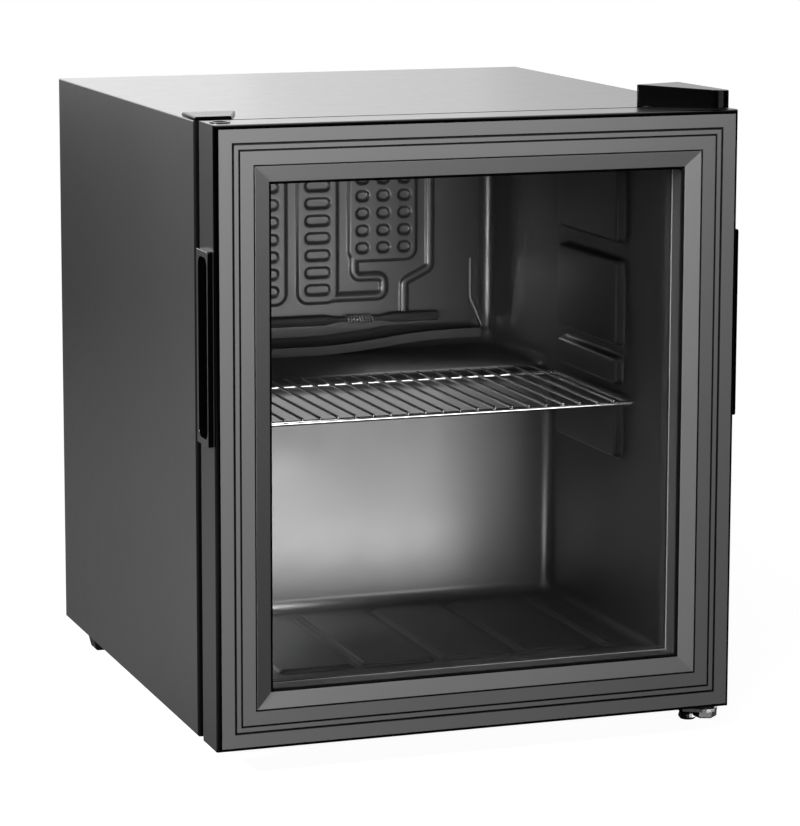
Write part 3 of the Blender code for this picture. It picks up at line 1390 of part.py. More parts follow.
def grip(name, side):
    """Grip let into the door's side: a rounded flange with a round-ended finger slot."""
    outer = HALF + GRIP_PROUD
    bm = bmesh.new()
    xs = sorted((side * (HALF + CLEAR), side * outer))
    low = (xs[0], FRONT + GRIP_FRONT, BASE + GRIP_BOTTOM)
    high = (xs[1], FRONT + GRIP_REAR, BASE + GRIP_TOP)
    add_box(bm, low, high)
    outward = [e for e in bm.edges if all(abs(v.co.x) > HALF + GRIP_PROUD / 2 for v in e.verts)]
    bmesh.ops.bevel(bm, geom=outward, offset=GRIP_ROUNDING, segments=3, affect="EDGES")
    body = mesh_object(name, bm, "gloss")
    pocket_end = outer - GRIP_SLOT_DEPTH - GRIP_SHELL
    xs = sorted((side * pocket_end, side * (HALF + 1 * MM)))
    box = bmesh.new()
    low = (xs[0], FRONT + GRIP_FRONT + GRIP_FLANGE, BASE + GRIP_BOTTOM + GRIP_FLANGE)
    high = (xs[1], FRONT + GRIP_REAR - GRIP_FLANGE, BASE + GRIP_TOP - GRIP_FLANGE)
    add_box(box, low, high)
    combine(body, "UNION", cutter(name + "_cup", box))
    middle = (GRIP_SLOT_FRONT + GRIP_SLOT_REAR) / 2
    radius = (GRIP_SLOT_REAR - GRIP_SLOT_FRONT) / 2
    low_end = GRIP_SLOT_BOTTOM + radius
    high_end = GRIP_SLOT_TOP - radius
    points = arc((middle, high_end), radius, 0, 180, 8)
    points += arc((middle, low_end), radius, 180, 360, 8)
    start = side * (outer - GRIP_SLOT_DEPTH)
    slot = bmesh.new()
    outline = [place(start, depth, height) for depth, height in points]
    add_prism(slot, outline, Vector((side * (GRIP_SLOT_DEPTH + 2 * MM), 0, 0)))
    combine(body, "DIFFERENCE", cutter(name + "_slot", slot))


def grips():
    """The grips of both sides."""
    grip("left_grip", -1)
    grip("right_grip", 1)


def hinge_bushes():
    """Bushes in the hinge side of the door, and plugs in the matching holes of the other side."""
    for name, height, up in (("upper", DOOR_TOP, 1), ("lower", BASE, -1)):
        origin = (HINGE_X, HINGE_Y, height)
        flange = BUSH_FLANGE if up > 0 else LOWER_BRACKET_DROP - CLEAR
        profile = (
            (HINGE_PIN_RADIUS + PIN_CLEAR, flange),
            (BUSH_FLANGE_RADIUS, flange),
            (BUSH_FLANGE_RADIUS, CLEAR),
            (BUSH_RADIUS, CLEAR),
            (BUSH_RADIUS, -BUSH_LENGTH),
            (HINGE_PIN_RADIUS + PIN_CLEAR, -BUSH_LENGTH),
        )
        turned(name + "_hinge_bush", profile, origin, "plastic", 20, (0, 0, up), closed=True)
        rim = 0.5 * MM
        profile = (
            (0, rim * 0.4),
            (BUSH_RADIUS - 1.6 * MM, rim * 0.4),
            (BUSH_RADIUS - 0.8 * MM, rim + CLEAR),
            (BUSH_FLANGE_RADIUS, rim + CLEAR),
            (BUSH_FLANGE_RADIUS, CLEAR),
            (BUSH_RADIUS, CLEAR),
            (BUSH_RADIUS * 0.9, -BUSH_LENGTH / 2),
            (0, -BUSH_LENGTH / 2),
        )
        origin = (-HINGE_X, HINGE_Y, height)
        turned(name + "_pivot_hole_plug", profile, origin, "gloss", 20, (0, 0, up))


# Hinges


def offset_outline(points, distance):
    """Move a convex outline, given anticlockwise, inwards by a distance."""
    moved = []
    count = len(points)
    for k, point in enumerate(points):
        before = Vector(points[k - 1])
        here = Vector(point)
        after = Vector(points[(k + 1) % count])
        one = (here - before).normalized()
        two = (after - here).normalized()
        normal_one = Vector((-one.y, one.x))
        normal_two = Vector((-two.y, two.x))
        middle = (normal_one + normal_two).normalized()
        moved.append(tuple(here + middle * distance / max(middle.dot(normal_one), 0.2)))
    return moved


def cover_outline():
    """Plan of the upper hinge cover: a long front, a round tip about the pin, and a back corner."""
    start = Vector(COVER_FRONT_LEFT)
    back = Vector(COVER_BACK)
    tip = Vector((HINGE_X - 0.5 * MM, HINGE_DEPTH))
    radius = COVER_TIP_RADIUS

    def tangent(point, side):
        away = point - tip
        swing = math.acos(radius / away.length)
        return math.degrees(math.atan2(away.y, away.x) + side * swing)

    first = tangent(start, 1)
    last = tangent(back, -1)
    while last < first:
        last += 360
    steps = 7
    points = [tuple(start)] + arc(tip, radius, first, last, steps) + [tuple(back)]
    return points


def cover_top(x):
    """Height of the cover's top, which falls towards the tip."""
    share = (x - COVER_FRONT_LEFT[0]) / (HINGE_X - COVER_FRONT_LEFT[0])
    return CABINET_HEIGHT + COVER_RISE - COVER_TIP_FALL * share


def hinge_cover():
    """Hollow cover over the upper hinge, open below."""
    outline = cover_outline()
    bottom = CABINET_HEIGHT + CLEAR
    bm = bmesh.new()
    verts = add_prism(bm, [place(x, y, bottom) for x, y in outline], Vector((0, 0, 10 * MM)))
    for vert in verts:
        vert.co.z = BASE + cover_top(vert.co.x)
    rim = [e for e in bm.edges if all(v in verts for v in e.verts)]
    bmesh.ops.bevel(bm, geom=rim, offset=0.8 * MM, segments=2, affect="EDGES")
    cover = mesh_object("upper_hinge_cover", bm, "gloss")
    inner = offset_outline(outline, COVER_WALL)
    bm = bmesh.new()
    verts = add_prism(bm, [place(x, y, bottom - 5 * MM) for x, y in inner], Vector((0, 0, 10 * MM)))
    for vert in verts:
        vert.co.z = BASE + cover_top(vert.co.x) - COVER_WALL
    combine(cover, "DIFFERENCE", cutter("cover_inside", bm))
    gap = 20 * MM
    low = place(COVER_FRONT_LEFT[0] - gap, -gap, CABINET_HEIGHT - gap)
    high = place(HALF + gap, CABINET_START, DOOR_HEIGHT + COVER_DOOR_CLEAR)
    cut_box(cover, low, high)


def upper_bracket():
    """Hinge plate on the cabinet top, standing on two pressed pads, and its pin."""
    lift = CABINET_HEIGHT + UPPER_BRACKET_LIFT
    plan = offset_outline(cover_outline(), COVER_WALL + 1.2 * MM)
    bm = bmesh.new()
    add_prism(bm, [place(x, y, lift) for x, y in plan], Vector((0, 0, BRACKET_SHEET)))
    plate = mesh_object("upper_hinge_bracket", bm, "zinc")
    pads = bmesh.new()
    for x, depth in BRACKET_PADS:
        start = place(x, depth, CABINET_HEIGHT + CLEAR)
        end = place(x, depth, lift + BRACKET_SHEET / 2)
        add_cylinder(pads, start, end, BRACKET_PAD_RADIUS, 14)
    combine(plate, "UNION", cutter("bracket_pads", pads))
    axis = place(HINGE_X, HINGE_DEPTH, 0)
    low = Vector((axis.x, axis.y, BASE + lift - 3 * MM))
    cut_round(plate, low, low + Vector((0, 0, 9 * MM)), HINGE_PIN_RADIUS + PIN_CLEAR)
    plate_top = BASE + lift + BRACKET_SHEET
    foot = DOOR_TOP - PIN_REACH - plate_top
    profile = (
        (0, PIN_HEAD + CLEAR),
        (PIN_HEAD_RADIUS - 0.8 * MM, PIN_HEAD + CLEAR),
        (PIN_HEAD_RADIUS, PIN_HEAD - 0.5 * MM),
        (PIN_HEAD_RADIUS, CLEAR),
        (HINGE_PIN_RADIUS, CLEAR),
        (HINGE_PIN_RADIUS, foot + 1 * MM),
        (HINGE_PIN_RADIUS - 1 * MM, foot),
        (0, foot),
    )
    turned("upper_hinge_pin", profile, (axis.x, axis.y, plate_top), "zinc", 20)


def spare_hinge_cap():
    """Thin tapered cap over the screw holes of the unused upper hinge place."""
    front, back = SPARE_CAP_DEPTHS
    outline = (
        (-SPARE_CAP_FRONT[1], front),
        (-SPARE_CAP_FRONT[0], front),
        (-SPARE_CAP_BACK[0], back),
        (-SPARE_CAP_BACK[1], back),
    )
    bottom = CABINET_HEIGHT + CLEAR
    top = bottom + SPARE_CAP_THICK
    inner = offset_outline(outline, SPARE_CAP_CHAMFER)
    loops = [
        [place(x, y, bottom) for x, y in outline],
        [place(x, y, top - SPARE_CAP_CHAMFER) for x, y in outline],
        [place(x, y, top) for x, y in inner],
    ]
    bm = bmesh.new()
    add_loft(bm, loops, cap_ends=True)
    mesh_object("spare_hinge_cap", bm, "gloss")


def lower_bracket():
    """Joggled plate under the cabinet that carries the lower pin and the right front foot."""
    left, right = LOWER_BRACKET_SIDES
    sheet = BRACKET_SHEET
    bend = LOWER_BRACKET_BEND
    drop = LOWER_BRACKET_DROP
    section = (
        (HINGE_DEPTH, -drop),
        (bend - drop, -drop),
        (bend, -CLEAR),
        (LOWER_BRACKET_REAR, -CLEAR),
        (LOWER_BRACKET_REAR, -CLEAR - sheet),
        (bend + sheet * 0.4, -CLEAR - sheet),
        (bend - drop + sheet * 0.4, -drop - sheet),
        (HINGE_DEPTH, -drop - sheet),
    )
    bm = bmesh.new()
    add_prism(bm, [place(left, y, z) for y, z in section], Vector((right - left, 0, 0)))
    plate = mesh_object("lower_hinge_bracket", bm, "zinc")
    nose = bmesh.new()
    outline = [(left, HINGE_DEPTH + 5 * MM)]
    outline += [(left, HINGE_DEPTH - 1 * MM)]
    middle = HINGE_X - 1 * MM
    radius = right - middle
    outline += arc((middle, HINGE_DEPTH), radius, 240, 360, 6)
    outline += [(right, HINGE_DEPTH + 5 * MM)]
    points = [place(x, y, -drop - sheet) for x, y in outline]
    add_prism(nose, points, Vector((0, 0, sheet)))
    combine(plate, "UNION", cutter("bracket_nose", nose))
    reach = Vector((0, 0, 9 * MM))
    axis = place(HINGE_X, HINGE_DEPTH, -drop)
    cut_round(plate, axis - reach, axis + reach, HINGE_PIN_RADIUS + PIN_CLEAR)
    foot = place(RIGHT_FOOT[0], RIGHT_FOOT[1], -drop)
    cut_round(plate, foot - reach, foot + reach, FOOT_STUD + CLEAR)


def lower_pin():
    """Hexagon-headed pin that stands up through the lower bracket into the door."""
    head_top = BASE - LOWER_BRACKET_DROP - BRACKET_SHEET - CLEAR
    across_corners = HEX_ACROSS_FLATS / math.cos(math.radians(30))
    bm = bmesh.new()
    low = Vector((HINGE_X, HINGE_Y, head_top - HEX_HEIGHT))
    add_cylinder(bm, low, low + Vector((0, 0, HEX_HEIGHT)), across_corners / 2, 6)
    turn = Matrix.Rotation(math.radians(HEX_TURN), 3, "Z")
    bmesh.ops.rotate(bm, cent=low, matrix=turn, verts=bm.verts)
    bmesh.ops.bevel(
        bm,
        geom=[e for e in bm.edges if all(v.co.z < head_top - HEX_HEIGHT / 2 for v in e.verts)],
        offset=1 * MM,
        segments=1,
        affect="EDGES",
    )
    pin = mesh_object("lower_hinge_pin", bm, "zinc")
    shaft = bmesh.new()
    start = Vector((HINGE_X, HINGE_Y, head_top - HEX_HEIGHT / 2))
    end = Vector((HINGE_X, HINGE_Y, BASE + PIN_REACH))
    add_cylinder(shaft, start, end, HINGE_PIN_RADIUS, 20)
    combine(pin, "UNION", cutter("pin_shaft", shaft))


# Shelf


def wire_shelf():
    """Welded wire shelf: a frame of rods with a thick front rail, and wires from front to back."""
    front, back = SHELF_FRONT, SHELF_BACK
    x = SHELF_SIDE
    level = SHELF_ROD_Z
    spots = ((-x, front), (x, front), (x, back), (-x, back))
    corners = [place(across, depth, level) for across, depth in spots]
    path = rounded_corners([corners[3]] + corners + [corners[0]], 5 * MM, 2)[1:-1]
    shelf = as_mesh(tube("wire_shelf", path, SHELF_ROD_RADIUS, "chrome", 1, cyclic=True))
    shelf.data.materials.clear()
    shelf.data.materials.append(MATERIALS["chrome"])
    rail = bmesh.new()
    end = x + SHELF_RAIL_END
    add_cylinder(rail, place(-end, front, level), place(end, front, level), SHELF_RAIL_RADIUS, 10)
    combine(shelf, "UNION", cutter("shelf_rail", rail))
    wires = bmesh.new()
    over = level + SHELF_RAIL_RADIUS + SHELF_WIRE_RADIUS - SHELF_WELD
    back_over = level + SHELF_ROD_RADIUS + SHELF_WIRE_RADIUS - SHELF_WELD
    for k in range(SHELF_WIRES):
        across = (k - (SHELF_WIRES - 1) / 2) * SHELF_PITCH
        start = place(across, front - SHELF_RAIL_RADIUS, over)
        end = place(across, SHELF_TIPS, back_over)
        add_cylinder(wires, start, end, SHELF_WIRE_RADIUS, 6)
    combine(shelf, "UNION", cutter("shelf_wires", wires))


# Feet


def rear_foot(name, side):
    """Tapered block under a rear corner."""
    top, bottom = REAR_FOOT_TOP / 2, REAR_FOOT_BOTTOM / 2
    centre = Vector((side * REAR_FOOT_X, FRONT + REAR_FOOT_DEPTH, 0))
    low = centre - Vector((top, top, 0))
    high = centre + Vector((top, top, BASE - CLEAR))
    bm = bmesh.new()
    add_tapered_box(bm, low, high, (0, 0, -1), top - bottom)
    foot = mesh_object(name, bm, "rubber")
    soften(foot, 1.2 * MM)


def front_foot(name, spot, hanger):
    """Screw foot and the insert it turns in. The hanger is how far the insert hangs down."""
    x, depth = spot
    axis = (x, FRONT + depth, 0)
    stud_top = BASE - 1 * MM if hanger > CLEAR else BASE + 8 * MM
    pad = FOOT_RADIUS
    profile = (
        (0, stud_top),
        (FOOT_STUD - 0.6 * MM, stud_top),
        (FOOT_STUD, stud_top - 0.8 * MM),
        (FOOT_STUD, FOOT_PAD_TOP),
        (pad - 1.6 * MM, FOOT_PAD_TOP),
        (pad - 0.6 * MM, FOOT_PAD_TOP - 1.4 * MM),
        (pad, 2.2 * MM),
        (pad - 1.6 * MM, 0),
        (0, 0),
    )
    turned(name, profile, axis, "rubber", 18)
    top = BASE - hanger
    bottom = BASE - FOOT_INSERT_DROP
    bore = FOOT_STUD + CLEAR
    profile = (
        (bore, top),
        (FOOT_INSERT_RADIUS, top),
        (FOOT_INSERT_RADIUS, top - 0.8 * MM),
        (FOOT_RADIUS, bottom),
        (bore, bottom),
    )
    turned(name + "_insert", profile, axis, "plastic", 18, closed=True)


def on_axis(name, axis, makers):
    """Run makers and hang the pieces they make on an empty that stands on a joint's axis."""
    before = set(bpy.data.objects)
    for maker in makers:
        maker()
    made = [obj for obj in bpy.data.objects if obj not in before and obj.parent is None]
    empty = bpy.data.objects.new(name, None)
    empty.empty_display_size = 40 * MM
    PARTS.objects.link(empty)
    empty.location = axis
    for obj in made:
        obj.parent = empty
        obj.matrix_parent_inverse = Matrix.Translation(axis).inverted()


def build():
    """Make every piece of the fridge."""
    outer_shell()
    base_pan()
    compressor_space_panel()
    rear_panel()
    insulation()
    inner_liner()
    evaporator_plate()
    evaporator_standoffs()
    suction_line()
    capillary_wrap()
    sensor_tube()
    drip_gutter()
    drain_tube()
    compressor()
    compressor_grommets()
    terminal_box()
    evaporation_tray()
    filter_dryer()
    thermostat()
    condenser_coil()
    door = (door_frame, door_face, door_edge, glazing, door_liner, gasket, grips, hinge_bushes)
    on_axis("door_axis", Vector((HINGE_X, HINGE_Y, BASE)), door)
    hinge_cover()
    upper_bracket()
    spare_hinge_cap()
    lower_bracket()
    lower_pin()
    on_axis("shelf_axis", place(0, SHELF_FRONT, SHELF_ROD_Z), (wire_shelf,))
    rear_foot("rear_left_foot", -1)
    rear_foot("rear_right_foot", 1)
    front_foot("front_right_foot", RIGHT_FOOT, LOWER_BRACKET_DROP + BRACKET_SHEET + CLEAR)
    front_foot("front_left_foot", LEFT_FOOT, CLEAR)


build()
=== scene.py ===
"""Looks of the glass door fridge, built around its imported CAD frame.

Metres, +Z up. The door faces -Y, x = 0 is the middle, and z = 0 is the floor under the feet.
Depths are measured back from the front face of the door, and heights up from the cabinet bottom.
"""

import math

import bmesh
import bpy
import numpy as np
from mathutils import Matrix, Vector


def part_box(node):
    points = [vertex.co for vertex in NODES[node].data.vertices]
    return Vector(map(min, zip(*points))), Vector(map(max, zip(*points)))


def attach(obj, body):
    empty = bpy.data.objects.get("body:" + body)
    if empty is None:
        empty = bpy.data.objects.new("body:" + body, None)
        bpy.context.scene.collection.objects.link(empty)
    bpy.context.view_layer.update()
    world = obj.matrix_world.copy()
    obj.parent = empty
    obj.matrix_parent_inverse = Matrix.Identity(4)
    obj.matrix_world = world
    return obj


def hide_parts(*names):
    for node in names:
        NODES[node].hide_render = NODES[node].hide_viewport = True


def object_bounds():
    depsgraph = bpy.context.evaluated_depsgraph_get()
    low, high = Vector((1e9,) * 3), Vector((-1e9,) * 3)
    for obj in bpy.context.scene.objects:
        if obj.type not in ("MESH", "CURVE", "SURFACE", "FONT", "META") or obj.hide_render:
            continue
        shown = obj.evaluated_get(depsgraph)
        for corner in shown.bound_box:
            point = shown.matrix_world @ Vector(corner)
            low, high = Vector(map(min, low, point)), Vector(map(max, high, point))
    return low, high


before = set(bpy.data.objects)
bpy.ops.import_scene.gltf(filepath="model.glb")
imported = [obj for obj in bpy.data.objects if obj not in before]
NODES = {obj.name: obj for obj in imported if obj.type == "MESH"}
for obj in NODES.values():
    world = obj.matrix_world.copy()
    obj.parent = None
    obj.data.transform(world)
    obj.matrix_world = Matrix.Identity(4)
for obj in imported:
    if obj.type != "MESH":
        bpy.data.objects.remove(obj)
cad_low, cad_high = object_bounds()
MM = 0.001

# Sizes of the frame that the new pieces are fitted to
FRONT = cad_low[1]
REAR = cad_high[1]
DEPTH = REAR - FRONT
shell_low, shell_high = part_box("outer_shell")
HALF = shell_high[0]
BASE = shell_low[2]
TOP = shell_high[2]
CABINET_START = shell_low[1] - FRONT
CABINET_HEIGHT = TOP - BASE
DOOR_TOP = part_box("door_frame")[1][2]
CLEAR = 0.3 * MM

# Camera of the photograph, 800 by 826 pixels
IMAGE_WIDTH = 800
IMAGE_HEIGHT = 826
FOCAL_PIXELS = 3408.0
PRINCIPAL_POINT = (380.0, 350.0)
SENSOR = 36.0
CAMERA_PLACE = (-0.933, -2.672, 0.7424)
CAMERA_YAW = 19.24
CAMERA_PITCH = 9.13
CAMERA_ROLL = 0.07


def add_object(name, data):
    """Object in the scene's own collection."""
    obj = bpy.data.objects.new(name, data)
    bpy.context.scene.collection.objects.link(obj)
    return obj


def make_camera():
    """Camera at the photograph's viewpoint, with the shift that its framing needs."""
    data = bpy.data.cameras.new("photo_camera")
    data.sensor_width = SENSOR
    data.lens = FOCAL_PIXELS / IMAGE_HEIGHT * SENSOR
    data.shift_x = (IMAGE_WIDTH / 2 - PRINCIPAL_POINT[0]) / IMAGE_HEIGHT
    data.shift_y = (PRINCIPAL_POINT[1] - IMAGE_HEIGHT / 2) / IMAGE_HEIGHT
    data.clip_start = 0.05
    data.clip_end = 60.0
    camera = add_object("photo_camera", data)
    turn = Matrix.Rotation(math.radians(-CAMERA_YAW), 4, "Z")
    tilt = Matrix.Rotation(math.radians(90.0 - CAMERA_PITCH), 4, "X")
    roll = Matrix.Rotation(math.radians(CAMERA_ROLL), 4, "Z")
    camera.matrix_world = Matrix.Translation(CAMERA_PLACE) @ turn @ tilt @ roll
    bpy.context.scene.camera = camera


make_camera()


# Materials


class Tree:
    """Small helper to write a node tree."""

    def __init__(self, tree):
        self.tree = tree

    def add(self, kind, **values):
        """New node. A value goes to the node's own property, or else to the socket of that name."""
        node = self.tree.nodes.new(kind)
        for key, value in values.items():
            if hasattr(node, key):
                setattr(node, key, value)
            else:
                node.inputs[key.replace("_", " ")].default_value = value
        return node

    def link(self, source, target):
        self.tree.links.new(source, target)

    def feed(self, node, *sources):
        """Put outputs or numbers into a node's first sockets, and give back its first output."""
        for source, socket in zip(sources, node.inputs):
            if isinstance(source, float):
                socket.default_value = source
            else:
                self.link(source, socket)
        return node.outputs[0]

    def split(self, where):
        """Outputs X, Y and Z of a place."""
        node = self.add("ShaderNodeSeparateXYZ")
        self.feed(node, where)
        return node.outputs

    def span(self, source, **limits):
        """Map a value to a range: 0 to 1 on both sides unless the limits say otherwise."""
        return self.feed(self.add("ShaderNodeMapRange", **limits), source)

    def maths(self, operation, first, second):
        """Sum, product or comparison of two outputs, or of an output and a number."""
        return self.feed(self.add("ShaderNodeMath", operation=operation), first, second)

    def mix(self, factor, first, second):
        """Two shaders mixed by a factor."""
        return self.feed(self.add("ShaderNodeMixShader"), factor, first, second)

    def seen_directly(self, path):
        """1 for what the camera sees by itself or through panes alone, 0 for light that bounces."""
        bounces = self.maths("ADD", path.outputs["Diffuse Depth"], path.outputs["Glossy Depth"])
        straight = self.maths("LESS_THAN", bounces, 0.5)
        through = self.maths("MULTIPLY", path.outputs["Is Transmission Ray"], straight)
        return self.maths("MAXIMUM", path.outputs["Is Camera Ray"], through)


class Nodes(Tree):
    """Node tree of a new material."""

    def __init__(self, name):
        self.material = bpy.data.materials.new(name)
        self.material.use_nodes = True
        super().__init__(self.material.node_tree)
        self.shader = self.tree.nodes["Principled BSDF"]
        self.output = self.tree.nodes["Material Output"]

    def set(self, **values):
        for key, value in values.items():
            self.shader.inputs[key.replace("_", " ")].default_value = value

    def noise(self, scale, detail):
        where = self.add("ShaderNodeTexCoord").outputs["Object"]
        return self.feed(self.add("ShaderNodeTexNoise", Scale=scale, Detail=detail), where)

    def colour(self, factor, *stops):
        """Base colour that runs between two (place, colour) stops."""
        ramp = self.add("ShaderNodeValToRGB")
        for element, (place, shade) in zip(ramp.color_ramp.elements, stops):
            element.position = place
            element.color = (*shade, 1.0)
        self.link(self.feed(ramp, factor), self.shader.inputs["Base Color"])

    def bump(self, height, distance):
        node = self.add("ShaderNodeBump", Distance=distance)
        self.link(height, node.inputs["Height"])
        self.link(node.outputs["Normal"], self.shader.inputs["Normal"])


def grey(level):
    """Linear value of an sRGB grey level."""
    share = level / 255.0
    return share / 12.92 if share <= 0.04045 else ((share + 0.055) / 1.055) ** 2.4


CLOUD_SCALE = 6.0
WEAR_SCALE = 60.0
WEAR = 0.08


def coated(name, shade, roughness, metallic=0.0, spread=0.06, grain=900.0, depth=0.02 * MM, **values):
    """Painted, moulded or plated surface: uneven shade and gloss, with a fine grain."""
    m = Nodes(name)
    m.set(Metallic=metallic, **values)
    if not isinstance(shade, tuple):
        shade = (shade, shade, shade)
    low = tuple(c * (1 - spread) for c in shade)
    high = tuple(c * (1 + spread) for c in shade)
    m.colour(m.noise(CLOUD_SCALE, 3.0), (0.3, low), (0.7, high))
    limits = {"To_Min": roughness * (1 - WEAR), "To_Max": roughness * (1 + WEAR)}
    m.link(m.span(m.noise(WEAR_SCALE, 2.0), **limits), m.shader.inputs["Roughness"])
    m.bump(m.noise(grain, 1.0), depth)
    return m.material


PAINT_GRAIN = {"grain": 1400.0, "depth": 0.004 * MM, "Coat_Weight": 0.9, "Coat_Roughness": 0.25}
MATERIALS = {
    "shell": coated("shell_paint", grey(57), 0.3, **PAINT_GRAIN),
    # The door's side has the same paint as the shell; this darker copy of it is painted shade
    "door": coated("door_side_paint_with_painted_shade", grey(46), 0.3, **PAINT_GRAIN),
    "face": coated("door_face_coat", grey(134), 0.5, 0.0, 0.02, grain=2600.0, depth=0.006 * MM),
    # Painted shade: dark grey in the grooves, along the face's inner edge and on the bead's steps,
    # where shade falls
    "painted_shade": coated("painted_shade_coat", grey(40), 0.6, grain=2600.0, Specular_IOR_Level=0.2),
    "bevel": coated("glazing_bead_coat", grey(134), 0.45, 0.0, 0.02, grain=2600.0, depth=0.006 * MM),
    "edge": coated("black_gloss_edge", grey(3), 0.12, depth=0.001 * MM, Specular_IOR_Level=0.25),
    "gloss": coated("black_gloss_plastic", grey(4), 0.2, depth=0.001 * MM, Specular_IOR_Level=0.22),
    "liner": coated("liner_plastic", grey(80), 0.38, 0.75, grain=700.0, depth=0.0),
    "cover": coated("black_cover", grey(3), 0.16, depth=0.001 * MM, Specular_IOR_Level=0.16),
    "foot": coated("black_foot", grey(5), 0.24, depth=0.002 * MM),
    "rubber": coated("rubber", grey(18), 0.62, grain=1500.0, depth=0.03 * MM),
    # Black gasket rubber, darkened to read as the shade in the door gap, and also painted on the
    # shell's front fold and flange as that shade
    "gasket_and_gap_shade": coated("gasket_rubber_and_gap_shade", grey(3), 0.8, Specular_IOR_Level=0.1),
    "plastic": coated("moulded_plastic", grey(26), 0.5, grain=1200.0, depth=0.03 * MM),
    "spacer": coated("spacer_strip", grey(44), 0.45, 0.1, grain=1500.0),
    # Pale grey that stands for a glint along the spacer's back edge: painted highlight
    "painted_glint": coated("painted_glint_line", grey(150), 0.5),
    "chrome": coated("chrome_wire", (0.9, 0.9, 0.9), 0.14, 1.0, 0.03, depth=0.001 * MM),
    "zinc": coated("zinc_plate", (0.66, 0.66, 0.66), 0.22, 1.0, 0.08),
    "satin_wire": coated("satin_wire", grey(110), 0.45, 0.5),
    "evaporator": coated("evaporator_coat", grey(56), 0.33, 0.4, grain=700.0),
    "copper": coated("copper", (0.72, 0.36, 0.2), 0.28, 1.0, 0.15, grain=400.0),
    "black_steel": coated("black_enamel", grey(22), 0.35, grain=600.0, depth=0.03 * MM),
    "foam": coated("foam", (0.75, 0.66, 0.42), 0.9, grain=300.0, depth=0.3 * MM),
    "galvanised": coated("galvanised_sheet", (0.5, 0.51, 0.52), 0.42, 0.9, 0.18, grain=300.0),
}


def glass_material():
    """Clear pane that lets the lamps' light through to the inside."""
    m = Nodes("clear_glass")
    m.set(Base_Color=(0.985, 0.985, 0.985, 1.0), Roughness=0.0, IOR=1.45, Transmission_Weight=1.0)
    clear = m.add("ShaderNodeBsdfTransparent", Color=(0.94, 0.94, 0.94, 1.0))
    path = m.add("ShaderNodeLightPath")
    pane = m.mix(path.outputs["Is Shadow Ray"], m.shader.outputs["BSDF"], clear.outputs["BSDF"])
    m.link(pane, m.output.inputs["Surface"])
    return m.material


MATERIALS["glass"] = glass_material()

FEET = ("rear_left_foot", "rear_right_foot", "front_left_foot", "front_right_foot")
HINGE_PLATES = ("upper_hinge_bracket", "lower_hinge_bracket")
HINGE_PINS = ("upper_hinge_pin", "lower_hinge_pin")
FINISHES = {
    "shell": ("rear_panel",),
    "door": ("door_frame",),
    "gloss": ("upper_pivot_hole_plug", "lower_pivot_hole_plug", "spare_hinge_cap"),
    "liner": ("drip_gutter",),
    "gasket_and_gap_shade": ("door_gasket", "glazing_seal"),
    "foot": FEET + ("front_left_foot_insert", "front_right_foot_insert"),
    "rubber": tuple(f"compressor_grommet_{k}" for k in range(1, 5)),
    "glass": ("outer_glass", "inner_glass"),
    "spacer": ("glass_spacer",),
    "zinc": HINGE_PLATES + HINGE_PINS + ("thermostat_sensor_tube",),
    "satin_wire": ("capillary_wrap",),
    "evaporator": ("suction_line",),
    "copper": ("condenser_coil", "filter_dryer"),
    "black_steel": ("compressor",),
    "galvanised": ("base_pan", "compressor_space_panel"),
}


def smooth(obj, angle=30.0):
    """Smooth shading with the sharp edges kept."""
    for polygon in obj.data.polygons:
        polygon.use_smooth = True
    obj.data.set_sharp_from_angle(angle=math.radians(angle))


def modify(obj, name, kind, **values):
    """Add a modifier with its settings."""
    modifier = obj.modifiers.new(name, kind)
    for key, value in values.items():
        setattr(modifier, key, value)


def flatten(obj):
    """Let the large flats keep their own normals beside the small arcs that meet them."""
    modify(obj, "flat_normals", "WEIGHTED_NORMAL", weight=90, keep_sharp=True)


# Roundings in millimetres along the sharp edges of kept CAD pieces, which then catch the light
ROUNDED = {
    0.3: ("base_pan", "compressor_space_panel", "drip_gutter"),
    0.4: HINGE_PLATES + ("door_frame", "rear_panel"),
    0.5: ("spare_hinge_cap", "evaporation_tray", "thermostat_housing"),
    0.6: HINGE_PINS + ("terminal_box", "thermostat_knob"),
    0.8: FEET + ("compressor",),
}
ROUNDING = {"segments": 3, "angle_limit": math.radians(35.0), "harden_normals": True}

painted = {name: finish for finish, names in FINISHES.items() for name in names}
for name, node in NODES.items():
    node.data.materials.clear()
    node.data.materials.append(MATERIALS[painted.get(name, "plastic")])
    smooth(node)
for width, names in ROUNDED.items():
    for name in names:
        modify(NODES[name], "edge_rounding", "BEVEL", width=width * MM, **ROUNDING)


# New pieces

STANDS_FOR = {}
EDGE_STEPS = 4
LEAST_RADIUS = 0.2 * MM


def mesh_object(name, bm):
    """Object with the faces of a bmesh, turned outwards. The bmesh is used up."""
    bmesh.ops.recalc_face_normals(bm, faces=bm.faces)
    mesh = bpy.data.meshes.new(name)
    bm.to_mesh(mesh)
    bm.free()
    return add_object(name, mesh)


def keep(name, bm, finish, body, replace=None, second=None, angle=40.0):
    """Turn a bmesh into a named piece with its one or two finishes, riding on a body."""
    obj = mesh_object(name, bm)
    obj.data.materials.append(MATERIALS[finish])
    if second:
        obj.data.materials.append(MATERIALS[second])
    smooth(obj, angle)
    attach(obj, body)
    if replace:
        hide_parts(replace)
        STANDS_FOR[replace] = obj
    return obj


def place(u, depth, height):
    """Turn a place on the fridge into frame coordinates."""
    return Vector((u, FRONT + depth, BASE + height))


def middle_and_half(low, high):
    """Middle and half length of a span."""
    return (low + high) / 2, (high - low) / 2


def arc(centre, radius, start, end, steps):
    """Points along an arc in a plane, angles in degrees."""
    points = []
    for k in range(steps + 1):
        angle = math.radians(start + (end - start) * k / steps)
        points.append((centre[0] + radius * math.cos(angle), centre[1] + radius * math.sin(angle)))
    return points


